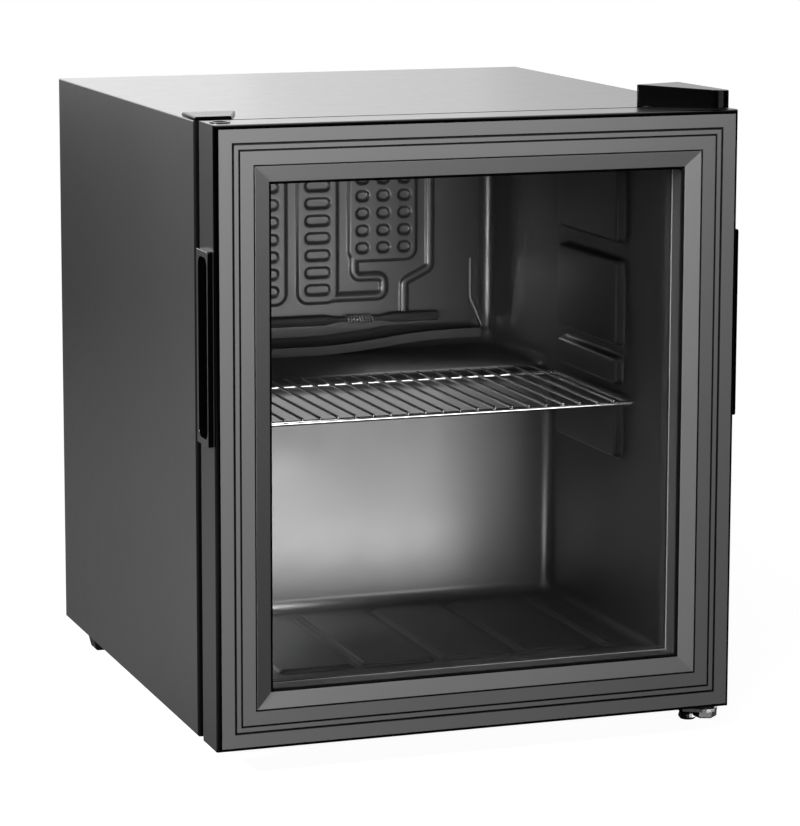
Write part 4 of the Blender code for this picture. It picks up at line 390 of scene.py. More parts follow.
def quarter(steps):
    """Steps along a quarter round of radius 1, each as its distances to the two flats it joins.

    The first distance grows from 0 to 1, and the second one shrinks from 1 to 0.
    """
    turns = [math.radians(90 * k / steps) for k in range(steps + 1)]
    return [(1 - math.cos(turn), 1 - math.sin(turn)) for turn in turns]


def rounded_rectangle(middle, half, corner, radius, steps):
    """Arcs of a radius about the centres of a rectangle's rounded corners, anticlockwise."""
    points = []
    for sx, sy, start in ((1, -1, -90), (1, 1, 0), (-1, 1, 90), (-1, -1, 180)):
        centre = (middle[0] + sx * (half[0] - corner), middle[1] + sy * (half[1] - corner))
        points += arc(centre, radius, start, start + 90, steps)
    return points


def rounded_path(points, radius, steps):
    """Replace the inner corners of a path in space with arcs that are tangent to it."""
    points = [Vector(point) for point in points]
    path = [points[0]]
    for before, corner, after in zip(points, points[1:], points[2:]):
        back = (before - corner).normalized()
        ahead = (after - corner).normalized()
        half_angle = back.angle(ahead) / 2
        reach = radius / math.tan(half_angle)
        middle = corner + (back + ahead).normalized() * radius / math.sin(half_angle)
        start = corner + back * reach - middle
        turn = start.rotation_difference(corner + ahead * reach - middle)
        for k in range(steps + 1):
            step = turn.copy()
            step.angle = turn.angle * k / steps
            path.append(middle + step @ start)
    path.append(points[-1])
    return path


DOME_STEPS = 4


def bridge(bm, row, following, closed=True):
    """Join two rows of corners with quads."""
    spans = list(zip(row, row[1:], following[1:], following))
    if closed:
        spans.append((row[-1], row[0], following[0], following[-1]))
    return [bm.faces.new(span) for span in spans]


def add_tube(bm, path, radius, sides=16, cyclic=False):
    """Sweep a circle along a path, with dome ends unless it is cyclic."""
    path = [Vector(point) for point in path]
    count = len(path)
    rings = []
    normal = None
    for k, point in enumerate(path):
        before = path[k - 1] if (k or cyclic) else point
        after = path[(k + 1) % count] if (k < count - 1 or cyclic) else point
        along = (after - before).normalized()
        if normal is None:
            normal = along.orthogonal().normalized()
        normal = (normal - along * normal.dot(along)).normalized()
        rings.append((point, along, normal, radius))
    if not cyclic:
        first, last = rings[0], rings[-1]
        domes = []
        for k in range(DOME_STEPS, 0, -1):
            angle = math.radians(90 * k / (DOME_STEPS + 0.5))
            domes.append((radius * math.sin(angle), radius * math.cos(angle)))
        head = [(first[0] - first[1] * rise, *first[1:3], size) for rise, size in domes]
        tail = [(last[0] + last[1] * rise, *last[1:3], size) for rise, size in reversed(domes)]
        rings = head + rings + tail
    loops = []
    turns = [2 * math.pi * k / sides for k in range(sides)]
    for point, along, normal, size in rings:
        across = along.cross(normal)
        spokes = [normal * math.cos(turn) + across * math.sin(turn) for turn in turns]
        loops.append([point + spoke * size for spoke in spokes])
    add_rings(bm, loops, cyclic)


def add_rings(bm, loops, cyclic=False):
    """Join a row of loops, each with the same number of points, into a closed skin."""
    rows = [[bm.verts.new(point) for point in loop] for loop in loops]
    for row, following in zip(rows, rows[1:]):
        bridge(bm, row, following)
    if cyclic:
        bridge(bm, rows[-1], rows[0])
    else:
        bm.faces.new(rows[0][::-1])
        bm.faces.new(rows[-1])


# Outer shell

SHELL_SHEET = 0.8 * MM
FRONT_FLANGE = 26 * MM
SHELL_CORNER = 0.9 * MM
SHELL_INNER_CORNER = 0.3 * MM
SHELL_CORNER_STEPS = 8
SHELL_FOLD = 1.2 * MM
# Length of the side sheet before its front fold that is painted black as the shade in the door gap
SHELL_GAP_SHADE = 4.6 * MM


def shell_path(inset):
    """Across and height along the U of the shell, moved in by an inset, with round top corners."""
    half = HALF - inset
    top = CABINET_HEIGHT - inset
    corner = max(SHELL_CORNER - inset, SHELL_INNER_CORNER)
    left = arc((corner - half, top - corner), corner, 180, 90, SHELL_CORNER_STEPS)
    right = arc((half - corner, top - corner), corner, 90, 0, SHELL_CORNER_STEPS)
    return [(-half, 0.0), *left, *right, (half, 0.0)]


def painted_shell():
    """Folded sheet round the sides and top. Its front fold, the flange and the rail round the opening
    are black as painted shade of the door gap.
    """
    start = CABINET_START
    section = [(SHELL_SHEET, DEPTH), (0.0, DEPTH), (0.0, start + SHELL_GAP_SHADE)]
    gap_shade_start = len(section) - 1
    for fall, left in quarter(EDGE_STEPS):
        section.append((SHELL_FOLD * fall, start + SHELL_FOLD * left))
    flange = len(section) - 1
    section += [(FRONT_FLANGE, start), (FRONT_FLANGE, start + SHELL_SHEET)]
    section += [(SHELL_FOLD, start + SHELL_SHEET), (SHELL_SHEET, start + SHELL_FOLD)]
    bm = bmesh.new()
    rows = []
    for inset, depth in section:
        rows.append([bm.verts.new(place(u, depth, height)) for u, height in shell_path(inset)])
    # Faces from this last stretch of the side sheet to the flange get the black of painted gap shade
    for index, row in enumerate(rows):
        for face in bridge(bm, row, rows[(index + 1) % len(rows)], False):
            face.material_index = int(gap_shade_start <= index <= flange)
    bm.faces.new([row[0] for row in rows])
    bm.faces.new([row[-1] for row in reversed(rows)])
    inner = HALF - FRONT_FLANGE
    corners = []
    for depth in (start, start + SHELL_SHEET):
        for height in (0.0, FRONT_FLANGE):
            corners.append([bm.verts.new(place(u, depth, height)) for u in (-inner, inner)])
    front_low, front_high, back_low, back_high = corners
    ring = (front_low, front_high, back_high, back_low)
    for one, two in zip(ring, ring[1:] + ring[:1]):
        for face in bridge(bm, one, two, False):
            face.material_index = 1
    for end in (0, 1):
        bm.faces.new([pair[end] for pair in ring])
    flatten(keep("painted_shell", bm, "shell", "cabinet", "outer_shell", "gasket_and_gap_shade"))


# Door face with painted shade in its grooves, edge strip, and a pale line behind the panes as a painted
# glint

EDGE_CHAMFER = 2.9 * MM
EDGE_START = 0.1 * MM
EDGE_DEPTH = 5.3 * MM
EDGE_LIP = 1.5 * MM
EDGE_LIP_CUT = 0.6 * MM
EDGE_ARC_STEPS = 12
FACE_START = EDGE_CHAMFER + CLEAR
FACE_INNER = 30.6 * MM
FACE_FALL = 0.9 * MM
FACE_SHEET = 3.0 * MM
FACE_ROUNDING = 0.12 * MM
GROOVES = ((14.35 * MM, 1.9 * MM), (19.3 * MM, 1.6 * MM))
GROOVE_DEPTH = 1.1 * MM
GROOVE_POWER = 0.6
GROOVE_STEPS = 10
DOOR_HEIGHT = DOOR_TOP - BASE
SPACER_INNER = 45.7 * MM
SEALANT = (25.4 * MM, 26.4 * MM)
SEALANT_PROUD = 0.25 * MM
SEALANT_DEEP = 0.5 * MM
SEALANT_STEPS = 6


def keep_ring(name, section, finish, replace=None, dark=(), angle=40.0):
    """Rectangular frame round the door with a closed (inset, depth) section.

    The faces that start at the section points listed as dark get the dark grey of painted shade.
    """
    bm = bmesh.new()
    rows = []
    for inset, depth in section:
        x = HALF - inset
        spots = ((-x, inset), (x, inset), (x, DOOR_HEIGHT - inset), (-x, DOOR_HEIGHT - inset))
        rows.append([bm.verts.new(place(u, depth, height)) for u, height in spots])
    for index, row in enumerate(rows):
        for face in bridge(bm, row, rows[(index + 1) % len(rows)]):
            face.material_index = int(index in dark)
    return keep(name, bm, finish, "door", replace, "painted_shade" if dark else None, angle)


def face_depth(inset):
    """Depth of the face at an inset: it falls slightly towards the glass."""
    return FACE_FALL * (inset - FACE_START) / (FACE_INNER - FACE_START)


def grooved_face():
    """Face frame with two round-bottomed grooves and a rounded inner edge, both dark with painted
    shade.
    """
    section = [(FACE_START, face_depth(FACE_START))]
    dark = []
    for middle, width in GROOVES:
        for k in range(GROOVE_STEPS + 1):
            share = k / GROOVE_STEPS
            inset = middle - width / 2 + width * share
            sink = GROOVE_DEPTH * math.sin(math.pi * share) ** GROOVE_POWER
            if k < GROOVE_STEPS:
                dark.append(len(section))
            section.append((inset, face_depth(inset) + sink))
    end = face_depth(FACE_INNER)
    # The inner edge's rounding gets painted shade, for the shadowed gap before the bead
    for fall, left in quarter(EDGE_STEPS):
        dark.append(len(section))
        section.append((FACE_INNER - FACE_ROUNDING * left, end + FACE_ROUNDING * fall))
    section += [(inset, FACE_SHEET + FACE_FALL) for inset in (FACE_INNER, FACE_START)]
    flatten(keep_ring("grooved_face", section, "face", "door_face_frame", dark))


def rounded_edge_strip():
    """Gloss strip whose outer corner is a smooth quarter round."""
    section = [(0.0, EDGE_DEPTH)]
    for fall, left in quarter(EDGE_ARC_STEPS)[1:-1]:
        section.append((EDGE_CHAMFER * fall, (EDGE_DEPTH - EDGE_START) * left + EDGE_START))
    section += [(EDGE_CHAMFER, EDGE_START), (EDGE_CHAMFER, EDGE_DEPTH - EDGE_LIP)]
    section.append((EDGE_CHAMFER - EDGE_LIP_CUT, EDGE_DEPTH))
    keep_ring("rounded_edge_strip", section, "edge", "door_edge_strip", angle=30.0)


BEAD_OUTER = 31.7 * MM
BEAD_INNER = 43.9 * MM
BEAD_FRONT = 1.2 * MM
BEAD_LIP = 4.9 * MM
BEAD_ROUNDING = 0.15 * MM
BEAD_BACK = 5.1 * MM
BEAD_WEB = 37.8 * MM


def sloping_bead():
    """Bead that slopes down to the glass, with painted shade on the steps at both edges."""
    section = [
        (BEAD_OUTER, BEAD_FRONT + BEAD_ROUNDING),
        (BEAD_OUTER + BEAD_ROUNDING, BEAD_FRONT),
        (BEAD_INNER - BEAD_ROUNDING, BEAD_LIP),
        (BEAD_INNER, BEAD_LIP + BEAD_ROUNDING),
        (BEAD_INNER, BEAD_BACK),
        (BEAD_WEB, BEAD_BACK),
        (BEAD_WEB, FACE_SHEET + FACE_FALL),
        (BEAD_OUTER, FACE_SHEET + FACE_FALL),
    ]
    # The step walls that start at section points 3 and 7 get painted shade
    keep_ring("sloping_bead", section, "bevel", "glazing_bead", (3, 7), 5.0)


def painted_sealant_glint():
    """Thin line of sealant along the back edge of the spacer, pale as a painted glint."""
    middle, half = middle_and_half(*SEALANT)
    section = [(SPACER_INNER - SEALANT_DEEP, SEALANT[0])]
    for out, up in arc((0.0, 0.0), 1.0, -90, 90, SEALANT_STEPS):
        section.append((SPACER_INNER + SEALANT_PROUD * out, middle + half * up))
    section.append((SPACER_INNER - SEALANT_DEEP, SEALANT[1]))
    keep_ring("painted_sealant_glint", section, "painted_glint")


# Grips

GRIP_ENDS = (238.0 * MM, 387.6 * MM)
GRIP_DEPTHS = (7.0 * MM, 36.6 * MM)
GRIP_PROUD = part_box("right_grip")[1][0] - HALF
GRIP_FLANGE = 1.0 * MM
GRIP_WALL = 1.6 * MM
GRIP_EDGE = 0.7 * MM
GRIP_CORNER = 1.6 * MM
GRIP_SLOT_DEPTHS = (8.7 * MM, 31.6 * MM)
GRIP_SLOT_ENDS = (243.2 * MM, 382.4 * MM)
GRIP_SLOT_CORNER = 7.0 * MM
GRIP_SLOT_EDGE = 0.4 * MM
GRIP_SLOT_FLOOR = 15.5 * MM
GRIP_SLOT_FILLET = 2.0 * MM
GRIP_ARC_STEPS = 8


def grip_loop(side, depths, ends, corner, shrink, proud):
    """Rounded rectangle in a plane parallel to the door's side."""
    spans = (middle_and_half(*depths), middle_and_half(*ends))
    middle = [span[0] for span in spans]
    half = [span[1] - shrink for span in spans]
    radius = max(corner - shrink, LEAST_RADIUS)
    points = rounded_rectangle(middle, half, radius, radius, GRIP_ARC_STEPS)
    return [place(side * (HALF + proud), depth, height) for depth, height in points]


def recessed_grip(name, side):
    """Painted grip plate on the door's side, with a black finger slot that is a closed cup."""
    outer = (GRIP_DEPTHS, GRIP_ENDS, GRIP_CORNER)
    slot = (GRIP_SLOT_DEPTHS, GRIP_SLOT_ENDS, GRIP_SLOT_CORNER)
    deep = GRIP_PROUD - GRIP_SLOT_FLOOR
    loops = [grip_loop(side, *outer, GRIP_FLANGE, deep - GRIP_WALL)]
    loops.append(grip_loop(side, *outer, GRIP_FLANGE, CLEAR))
    loops.append(grip_loop(side, *outer, 0.0, CLEAR))
    for fall, left in quarter(EDGE_STEPS):
        loops.append(grip_loop(side, *outer, GRIP_EDGE * fall, GRIP_PROUD - GRIP_EDGE * left))
    plate = len(loops) - 1
    for fall, left in quarter(EDGE_STEPS):
        loops.append(grip_loop(side, *slot, -GRIP_SLOT_EDGE * left, GRIP_PROUD - GRIP_SLOT_EDGE * fall))
    for fall, left in quarter(EDGE_STEPS):
        loops.append(grip_loop(side, *slot, GRIP_SLOT_FILLET * fall, deep + GRIP_SLOT_FILLET * left))
    bm = bmesh.new()
    add_rings(bm, loops)
    for index, face in enumerate(bm.faces):
        ring = index // len(loops[0])
        face.material_index = int(plate - 2 <= ring <= plate)
    grip_name = name.replace("_grip", "_recessed_grip")
    flatten(keep(grip_name, bm, "gloss", "door", name, "door"))


# Upper hinge cover

COVER_FRONT_LEFT = (HALF - 66.4 * MM, CABINET_START - 1.7 * MM)
COVER_BACK = (HALF - 8 * MM, CABINET_START + 48 * MM)
COVER_TIP = (HALF - 11.5 * MM, 23 * MM)
COVER_TIP_RADIUS = 11.4 * MM
COVER_TIP_STEPS = 28
COVER_CORNER = 1.2 * MM
COVER_CORNER_STEPS = 5
COVER_PITCH = 2.0 * MM
COVER_RISE = cad_high[2] - TOP
COVER_TIP_FALL = 3.0 * MM
COVER_WALL = 2.0 * MM
COVER_EDGE = 0.7 * MM
COVER_CLEAR = 0.4 * MM
COVER_STEP = CABINET_START - 1.0 * MM


def cover_outline():
    """Plan of the cover: a long front, a round tip about the pin, and rounded back corners."""

    def tangent(point, side):
        away = Vector(point) - Vector(COVER_TIP)
        swing = math.acos(COVER_TIP_RADIUS / away.length)
        return math.degrees(math.atan2(away.y, away.x) + side * swing)

    first = tangent(COVER_FRONT_LEFT, 1)
    last = tangent(COVER_BACK, -1)
    while last < first:
        last += 360
    nose = arc(COVER_TIP, COVER_TIP_RADIUS, first, last, COVER_TIP_STEPS)
    corners = [(*point, 0.0) for point in (nose[-1], COVER_BACK, COVER_FRONT_LEFT, nose[0])]
    rear = rounded_path(corners, COVER_CORNER, COVER_CORNER_STEPS)[1:-1]
    outline = nose + [(p.x, p.y) for p in rear]
    dense = []
    for one, two in zip(outline, outline[1:] + outline[:1]):
        steps = max(1, round(math.dist(one, two) / COVER_PITCH))
        for k in range(steps):
            share = k / steps
            dense.append((one[0] + (two[0] - one[0]) * share, one[1] + (two[1] - one[1]) * share))
    return dense


def offset_outline(points, distance):
    """Move a convex outline, given anticlockwise, inwards by a distance."""
    moved = []
    for before, point, after in zip(points[-1:] + points, points, points[1:] + points[:1]):
        one = (Vector(point) - Vector(before)).normalized()
        two = (Vector(after) - Vector(point)).normalized()
        middle = Vector((-one.y - two.y, one.x + two.x)).normalized()
        reach = distance / middle.dot(Vector((-one.y, one.x)))
        moved.append((point[0] + middle.x * reach, point[1] + middle.y * reach))
    return moved


def hinge_cover():
    """Hollow cover whose top falls towards the tip, and whose rim just clears the door."""
    outline = cover_outline()
    inner = offset_outline(outline, COVER_WALL)

    def top(x):
        share = (x - COVER_FRONT_LEFT[0]) / (COVER_TIP[0] - COVER_FRONT_LEFT[0])
        return CABINET_HEIGHT + COVER_RISE - COVER_TIP_FALL * share

    def bottom(depth):
        return DOOR_HEIGHT + COVER_CLEAR if depth < COVER_STEP else CABINET_HEIGHT + CLEAR

    loops = [[place(u, d, top(u) - COVER_WALL) for u, d in inner]]
    loops.append([place(u, d, bottom(e)) for (u, d), (_, e) in zip(inner, outline)])
    loops.append([place(u, d, bottom(d)) for u, d in outline])
    for fall, left in quarter(EDGE_STEPS):
        plan = offset_outline(outline, COVER_EDGE * fall)
        loops.append([place(u, d, top(u) - COVER_EDGE * left) for u, d in plan])
    bm = bmesh.new()
    add_rings(bm, loops)
    flatten(keep("hollow_hinge_cover", bm, "cover", "cabinet", "upper_hinge_cover"))


# Wire shelf

LINER_HALF = HALF - 37 * MM
LINER_STEP_DEPTH = DEPTH - 180 * MM
SHELF_RAIL_RADIUS = 2.1 * MM
SHELF_ROD_RADIUS = 1.7 * MM
SHELF_WIRE_RADIUS = 1.3 * MM
SHELF_RAIL_END = 3.0 * MM
SHELF_WIRES = 22
SHELF_WELD = 0.5 * MM
SHELF_CORNER = 5 * MM
SHELF_CORNER_STEPS = 8
SHELF_DEPTHS = (CABINET_START + 58.3 * MM, LINER_STEP_DEPTH - 25 * MM)
shelf_low, shelf_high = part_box("wire_shelf")


def wire_shelf():
    """Frame of rods with a thick front rail and dome-ended wires welded across them."""
    front, back = SHELF_DEPTHS
    level = shelf_low[2] + SHELF_RAIL_RADIUS - BASE
    x = shelf_high[0] - SHELF_RAIL_END
    bm = bmesh.new()
    spots = ((-x, front), (x, front), (x, back), (-x, back))
    corners = [place(across, depth, level) for across, depth in spots]
    path = rounded_path(corners[3:] + corners + corners[:1], SHELF_CORNER, SHELF_CORNER_STEPS)[1:-1]
    add_tube(bm, path, SHELF_ROD_RADIUS, cyclic=True)
    end = shelf_high[0] - SHELF_RAIL_RADIUS
    add_tube(bm, (place(-end, front, level), place(end, front, level)), SHELF_RAIL_RADIUS, sides=24)
    over = level + SHELF_RAIL_RADIUS + SHELF_WIRE_RADIUS - SHELF_WELD
    back_over = level + SHELF_ROD_RADIUS + SHELF_WIRE_RADIUS - SHELF_WELD
    pitch = 2 * x / (SHELF_WIRES + 1)
    tips = shelf_high[1] - FRONT - SHELF_WIRE_RADIUS
    for k in range(SHELF_WIRES):
        across = (k - (SHELF_WIRES - 1) / 2) * pitch
        start = place(across, front - SHELF_RAIL_RADIUS + SHELF_WIRE_RADIUS, over)
        add_tube(bm, (start, place(across, tips, back_over)), SHELF_WIRE_RADIUS, sides=14)
    keep("chrome_wire_shelf", bm, "chrome", "shelf", "wire_shelf", angle=50.0)


# Evaporator plate

plate_low, plate_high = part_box("evaporator_plate")
PLATE_HALF = plate_high[0]
PLATE_UNIT = PLATE_HALF / 155.7
PLATE_GRID = 0.75 * MM
PLATE_WELD = 0.005 * MM
PLATE_CORNER = 8 * MM
BLISTER = 2.1 * MM
BLISTER_SLOPE = 3.6 * MM
PLATE_FACE = plate_low[1] + BLISTER
PLATE_BOTTOM = plate_low[2]
PLATE_TOP = plate_high[2]
HEADER_HEIGHT = PLATE_BOTTOM + 7.6 * MM
PATTERN_MIDDLE = -20.25 * PLATE_UNIT
PATTERN_TOP = PLATE_TOP - 8 * MM
LONG_FIELD = (5.25 * PLATE_UNIT, 42.65 * PLATE_UNIT)
LONG_FIELD_BOTTOM = HEADER_HEIGHT + 15.4 * MM
WIDE_FIELD = (53.15 * PLATE_UNIT, 117.15 * PLATE_UNIT)
WIDE_FIELD_BOTTOM = HEADER_HEIGHT + 51.4 * MM
FIELD_CORNER = 10 * MM
OVAL_SHARE = 0.56
OVAL_ROUNDNESS = 0.98
OVAL_SLOPE = BLISTER_SLOPE * 0.8
LONG_OVAL = (23.95 * PLATE_UNIT, 22.5 * PLATE_UNIT)
LONG_OVAL_ENDS = (LONG_FIELD_BOTTOM + 12 * MM, PATTERN_TOP - 15 * MM)
LONG_OVAL_COUNT = 9
SMALL_OVAL_REACHES = (66.15 * PLATE_UNIT, 85.75 * PLATE_UNIT, 105.65 * PLATE_UNIT)
SMALL_OVAL_LENGTH = 11 * PLATE_UNIT
SMALL_OVAL_ENDS = (WIDE_FIELD_BOTTOM + 11.9 * MM, PATTERN_TOP - 10.1 * MM)
SMALL_OVAL_COUNT = 7
CHANNEL_RADIUS = 4.3 * MM
CHANNEL_REACHES = (LONG_FIELD[1] - 6 * MM, 86.5 * PLATE_UNIT, 58.3 * PLATE_UNIT)
CHANNEL_END = WIDE_FIELD_BOTTOM + 8 * MM
CHANNEL_RISE = 17.4 * MM
CHANNEL_BEND = 6 * MM
CHANNEL_BEND_STEPS = 6
CHANNEL_POWER = 0.8
OUTLET = (
    (110 * PLATE_UNIT, PATTERN_TOP - 4 * MM),
    (110 * PLATE_UNIT, HEADER_HEIGHT + 43.4 * MM),
    (85.6 * PLATE_UNIT, HEADER_HEIGHT + 31.4 * MM),
    (85.6 * PLATE_UNIT, HEADER_HEIGHT + 5.4 * MM),
)


def eased(distance, width):
    """Smooth step from 1 inside to 0 outside an edge, over a width."""
    share = np.clip(0.5 - distance / width, 0.0, 1.0)
    return share * share * (3 - 2 * share)


def box_distance(x, z, middle, half, corner):
    """Signed distance to a rectangle with rounded corners."""
    dx = np.abs(x - middle[0]) - half[0] + corner
    dz = np.abs(z - middle[1]) - half[1] + corner
    outside = np.hypot(np.maximum(dx, 0), np.maximum(dz, 0))
    return outside + np.minimum(np.maximum(dx, dz), 0) - corner


def path_distance(x, z, path):
    """Distance to a path of straight runs."""
    nearest = np.full(x.shape, 1.0)
    for (ax, az), (bx, bz) in zip(path, path[1:]):
        run = np.array((bx - ax, bz - az))
        share = np.clip(((x - ax) * run[0] + (z - az) * run[1]) / run.dot(run), 0, 1)
        nearest = np.minimum(nearest, np.hypot(x - ax - share * run[0], z - az - share * run[1]))
    return nearest


def plate_relief(x, z):
    """Height of the pressed pattern, 0 to 1: fields with sunk ovals, joined by round channels."""
    relief = np.zeros(x.shape)
    sunk = np.zeros(x.shape)
    paths = []
    lower = LONG_FIELD_BOTTOM + CHANNEL_RADIUS
    upper = lower + CHANNEL_RISE
    small = (SMALL_OVAL_LENGTH, SMALL_OVAL_ENDS, SMALL_OVAL_COUNT)
    columns = [(*LONG_OVAL, LONG_OVAL_ENDS, LONG_OVAL_COUNT)]
    columns += [(reach, *small) for reach in SMALL_OVAL_REACHES]
    for side in (-1, 1):
        for field, bottom in ((LONG_FIELD, LONG_FIELD_BOTTOM), (WIDE_FIELD, WIDE_FIELD_BOTTOM)):
            reach, half_width = middle_and_half(*field)
            height, half_height = middle_and_half(bottom, PATTERN_TOP)
            middle = (PATTERN_MIDDLE + side * reach, height)
            edge = box_distance(x, z, middle, (half_width, half_height), FIELD_CORNER)
            relief = np.maximum(relief, eased(edge, BLISTER_SLOPE))
        for reach, length, ends, rows in columns:
            pitch = (ends[1] - ends[0]) / (rows - 1)
            half = (length / 2, OVAL_SHARE * pitch / 2)
            for row in range(rows):
                middle = (PATTERN_MIDDLE + side * reach, ends[0] + row * pitch)
                oval = box_distance(x, z, middle, half, min(half) * OVAL_ROUNDNESS)
                sunk = np.maximum(sunk, eased(oval, OVAL_SLOPE))
        start, turn, rise = (PATTERN_MIDDLE + side * reach for reach in CHANNEL_REACHES)
        first = ((start, lower), (turn, lower), (turn, upper))
        paths.append((*first, (rise, upper), (rise, CHANNEL_END)))
    paths.append(OUTLET)
    relief = relief * (1 - sunk)
    for path in paths:
        bent = rounded_path([(a, b, 0) for a, b in path], CHANNEL_BEND, CHANNEL_BEND_STEPS)
        away = path_distance(x, z, [(p.x, p.y) for p in bent])
        share = np.clip(away / CHANNEL_RADIUS, 0, 1)
        relief = np.maximum(relief, (1 - share * share) ** CHANNEL_POWER)
    return relief


def evaporator_plate():
    """Roll-bonded plate with its pressed pattern as a fine relief, flat at the back."""
    columns = round(2 * PLATE_HALF / PLATE_GRID)
    rows = round((PLATE_TOP - PLATE_BOTTOM) / PLATE_GRID)
    across = np.linspace(-PLATE_HALF, PLATE_HALF, columns + 1)
    x, z = np.meshgrid(across, np.linspace(PLATE_BOTTOM, PLATE_TOP, rows + 1))
    middle, half = middle_and_half(PLATE_BOTTOM, PLATE_TOP)
    relief = plate_relief(x, z)
    inset = np.maximum(np.abs(x) - PLATE_HALF + PLATE_CORNER, 0)
    rise = np.maximum(np.abs(z - middle) - half + PLATE_CORNER, 0)
    reach = np.maximum(np.hypot(inset, rise), 1e-9)
    pull = np.minimum(PLATE_CORNER / reach, 1.0)
    corner = (inset > 0) & (rise > 0)
    x = np.where(corner, np.sign(x) * (PLATE_HALF - PLATE_CORNER + inset * pull), x)
    z = np.where(corner, middle + np.sign(z - middle) * (half - PLATE_CORNER + rise * pull), z)
    front = np.stack((x, PLATE_FACE - BLISTER * relief, z), axis=-1).reshape(-1, 3)
    back = np.stack((x, np.full(x.shape, plate_high[1]), z), axis=-1).reshape(-1, 3)
    grid = np.arange(len(front)).reshape(x.shape)
    rim = np.concatenate((grid[0], grid[1:, -1], grid[-1, -2::-1], grid[-2:0:-1, 0]))
    bm = bmesh.new()
    corners = [bm.verts.new(point) for point in front]
    rear = [bm.verts.new(point) for point in back[rim]]
    for row, following in zip(grid, grid[1:]):
        bridge(bm, [corners[k] for k in row], [corners[k] for k in following], False)
    bridge(bm, rear, [corners[k] for k in rim])
    bm.faces.new(rear[::-1])
    bmesh.ops.remove_doubles(bm, verts=bm.verts, dist=PLATE_WELD)
    keep("pressed_evaporator_plate", bm, "evaporator", "cabinet", "evaporator_plate", angle=60.0)


# Inner liner

LINER_WALL = 1.8 * MM
LINER_FLOOR = 33 * MM
LINER_CEILING = CABINET_HEIGHT - 32.2 * MM
LINER_STEP_TOP = 235 * MM
LINER_BACK = DEPTH - 35 * MM
LINER_EDGE_RADIUS = 9 * MM
LINER_CORNER_RADIUS = 11 * MM
LINER_STEP_RADIUS = 15 * MM
LINER_ARC_STEPS = 14
LIP_ROUNDING = 2.5 * MM
LIP_STEPS = 5
FLANGE_INSET = 26.3 * MM
PAD_COUNT = 4
PAD_PITCH = LINER_HALF * 0.3876
PAD_WIDTH = PAD_PITCH - 6 * MM
PAD_HEIGHT = 3 * MM
PAD_SLOPE = 3 * MM
PAD_CORNER = 4 * MM
PAD_ROUNDING = 1 * MM
PAD_DEPTHS = (CABINET_START + 44.3 * MM, LINER_STEP_DEPTH - 24 * MM)
SIDE_PAD = (LINER_HALF - 33 * MM, LINER_HALF - 20 * MM)
GUIDE_DEPTHS = (CABINET_START + 86.3 * MM, LINER_STEP_DEPTH - 32 * MM)
GUIDE_PROUD = 8 * MM
GUIDE_SLOPE = 0.6 * MM
GUIDE_CORNER = 5 * MM
GUIDE_ROUNDING = 2.5 * MM
GUIDE_SHARES = ((0.357, 0.4765), (0.506, 0.559), (0.584, 0.755), (0.791, 0.938))
PILLOW_FOOT = -0.05 * MM
PILLOW_STEPS = 5


def liner_section(inset):
    """The tub's open side outline, front bottom to front top, moved in by an inset."""
    floor = LINER_FLOOR + inset
    step = LINER_STEP_DEPTH - inset
    ledge = LINER_STEP_TOP + inset
    back = LINER_BACK - inset
    ceiling = LINER_CEILING - inset
    round_in = LINER_CORNER_RADIUS - inset
    round_out = LINER_STEP_RADIUS + inset
    steps = LINER_ARC_STEPS
    points = arc((step - round_in, floor + round_in), round_in, -90, 0, steps)
    points += arc((step + round_out, ledge - round_out), round_out, 180, 90, steps)
    points += arc((back - round_in, ledge + round_in), round_in, -90, 0, steps)
    points += arc((back - round_in, ceiling - round_in), round_in, 0, 90, steps)
    return points


def add_pillow(bm, middle, half, corner, profile, put):
    """A raised pad: rounded rectangles, each grown and lifted as the profile says."""
    loops = []
    for grow, height in profile:
        radius = max(corner + grow, LEAST_RADIUS)
        points = rounded_rectangle(middle, half, corner, radius, PILLOW_STEPS)
        loops.append([put(a, b, height) for a, b in points])
    add_rings(bm, loops)


def pillow_profile(height, slope, rounding):
    """Grow and height along a pad's flank, tangent to the wall and to its flat top."""
    points = [(slope / 2 + rounding, PILLOW_FOOT)]
    for fall, left in quarter(PILLOW_STEPS)[1:-1]:
        points.append((slope / 2 + rounding * left, rounding * fall))
    for fall, left in quarter(PILLOW_STEPS):
        points.append((-slope / 2 - rounding * fall, height - rounding * left))
    return points


def tub_outlines(lip, grow=0.0):
    """The tub's outlines from its left wall to its right wall, open at a depth and grown all round."""
    radius = LINER_EDGE_RADIUS + grow
    stations = []
    for fall, left in quarter(LINER_ARC_STEPS):
        stations.append((LINER_HALF + grow - radius * fall, radius * left - grow))
    rows = []
    for x, inset in [(-x, inset) for x, inset in stations] + stations[::-1]:
        outline = [(lip, LINER_FLOOR + inset), *liner_section(inset), (lip, LINER_CEILING - inset)]
        rows.append([place(x, depth, height) for depth, height in outline])
    return rows


def insulation_core():
    """The foam of the frame with its hollow cut wider, to clear the tub's tighter corners."""
    bm = bmesh.new()
    add_rings(bm, tub_outlines(CABINET_START - CLEAR, LINER_WALL + CLEAR))
    cutter = mesh_object("tub_space", bm)
    node = NODES["insulation_foam"]
    core = add_object("core", node.data.copy())
    core.matrix_world = node.matrix_world.copy()
    modify(core, "cut", "BOOLEAN", object=cutter, operation="DIFFERENCE")
    bpy.context.view_layer.update()
    bm = bmesh.new()
    bm.from_mesh(core.evaluated_get(bpy.context.evaluated_depsgraph_get()).to_mesh())
    bm.transform(core.matrix_world)
    for obj in (cutter, core):
        bpy.data.objects.remove(obj)
    keep("insulation_core", bm, "foam", "cabinet", "insulation_foam", angle=30.0)


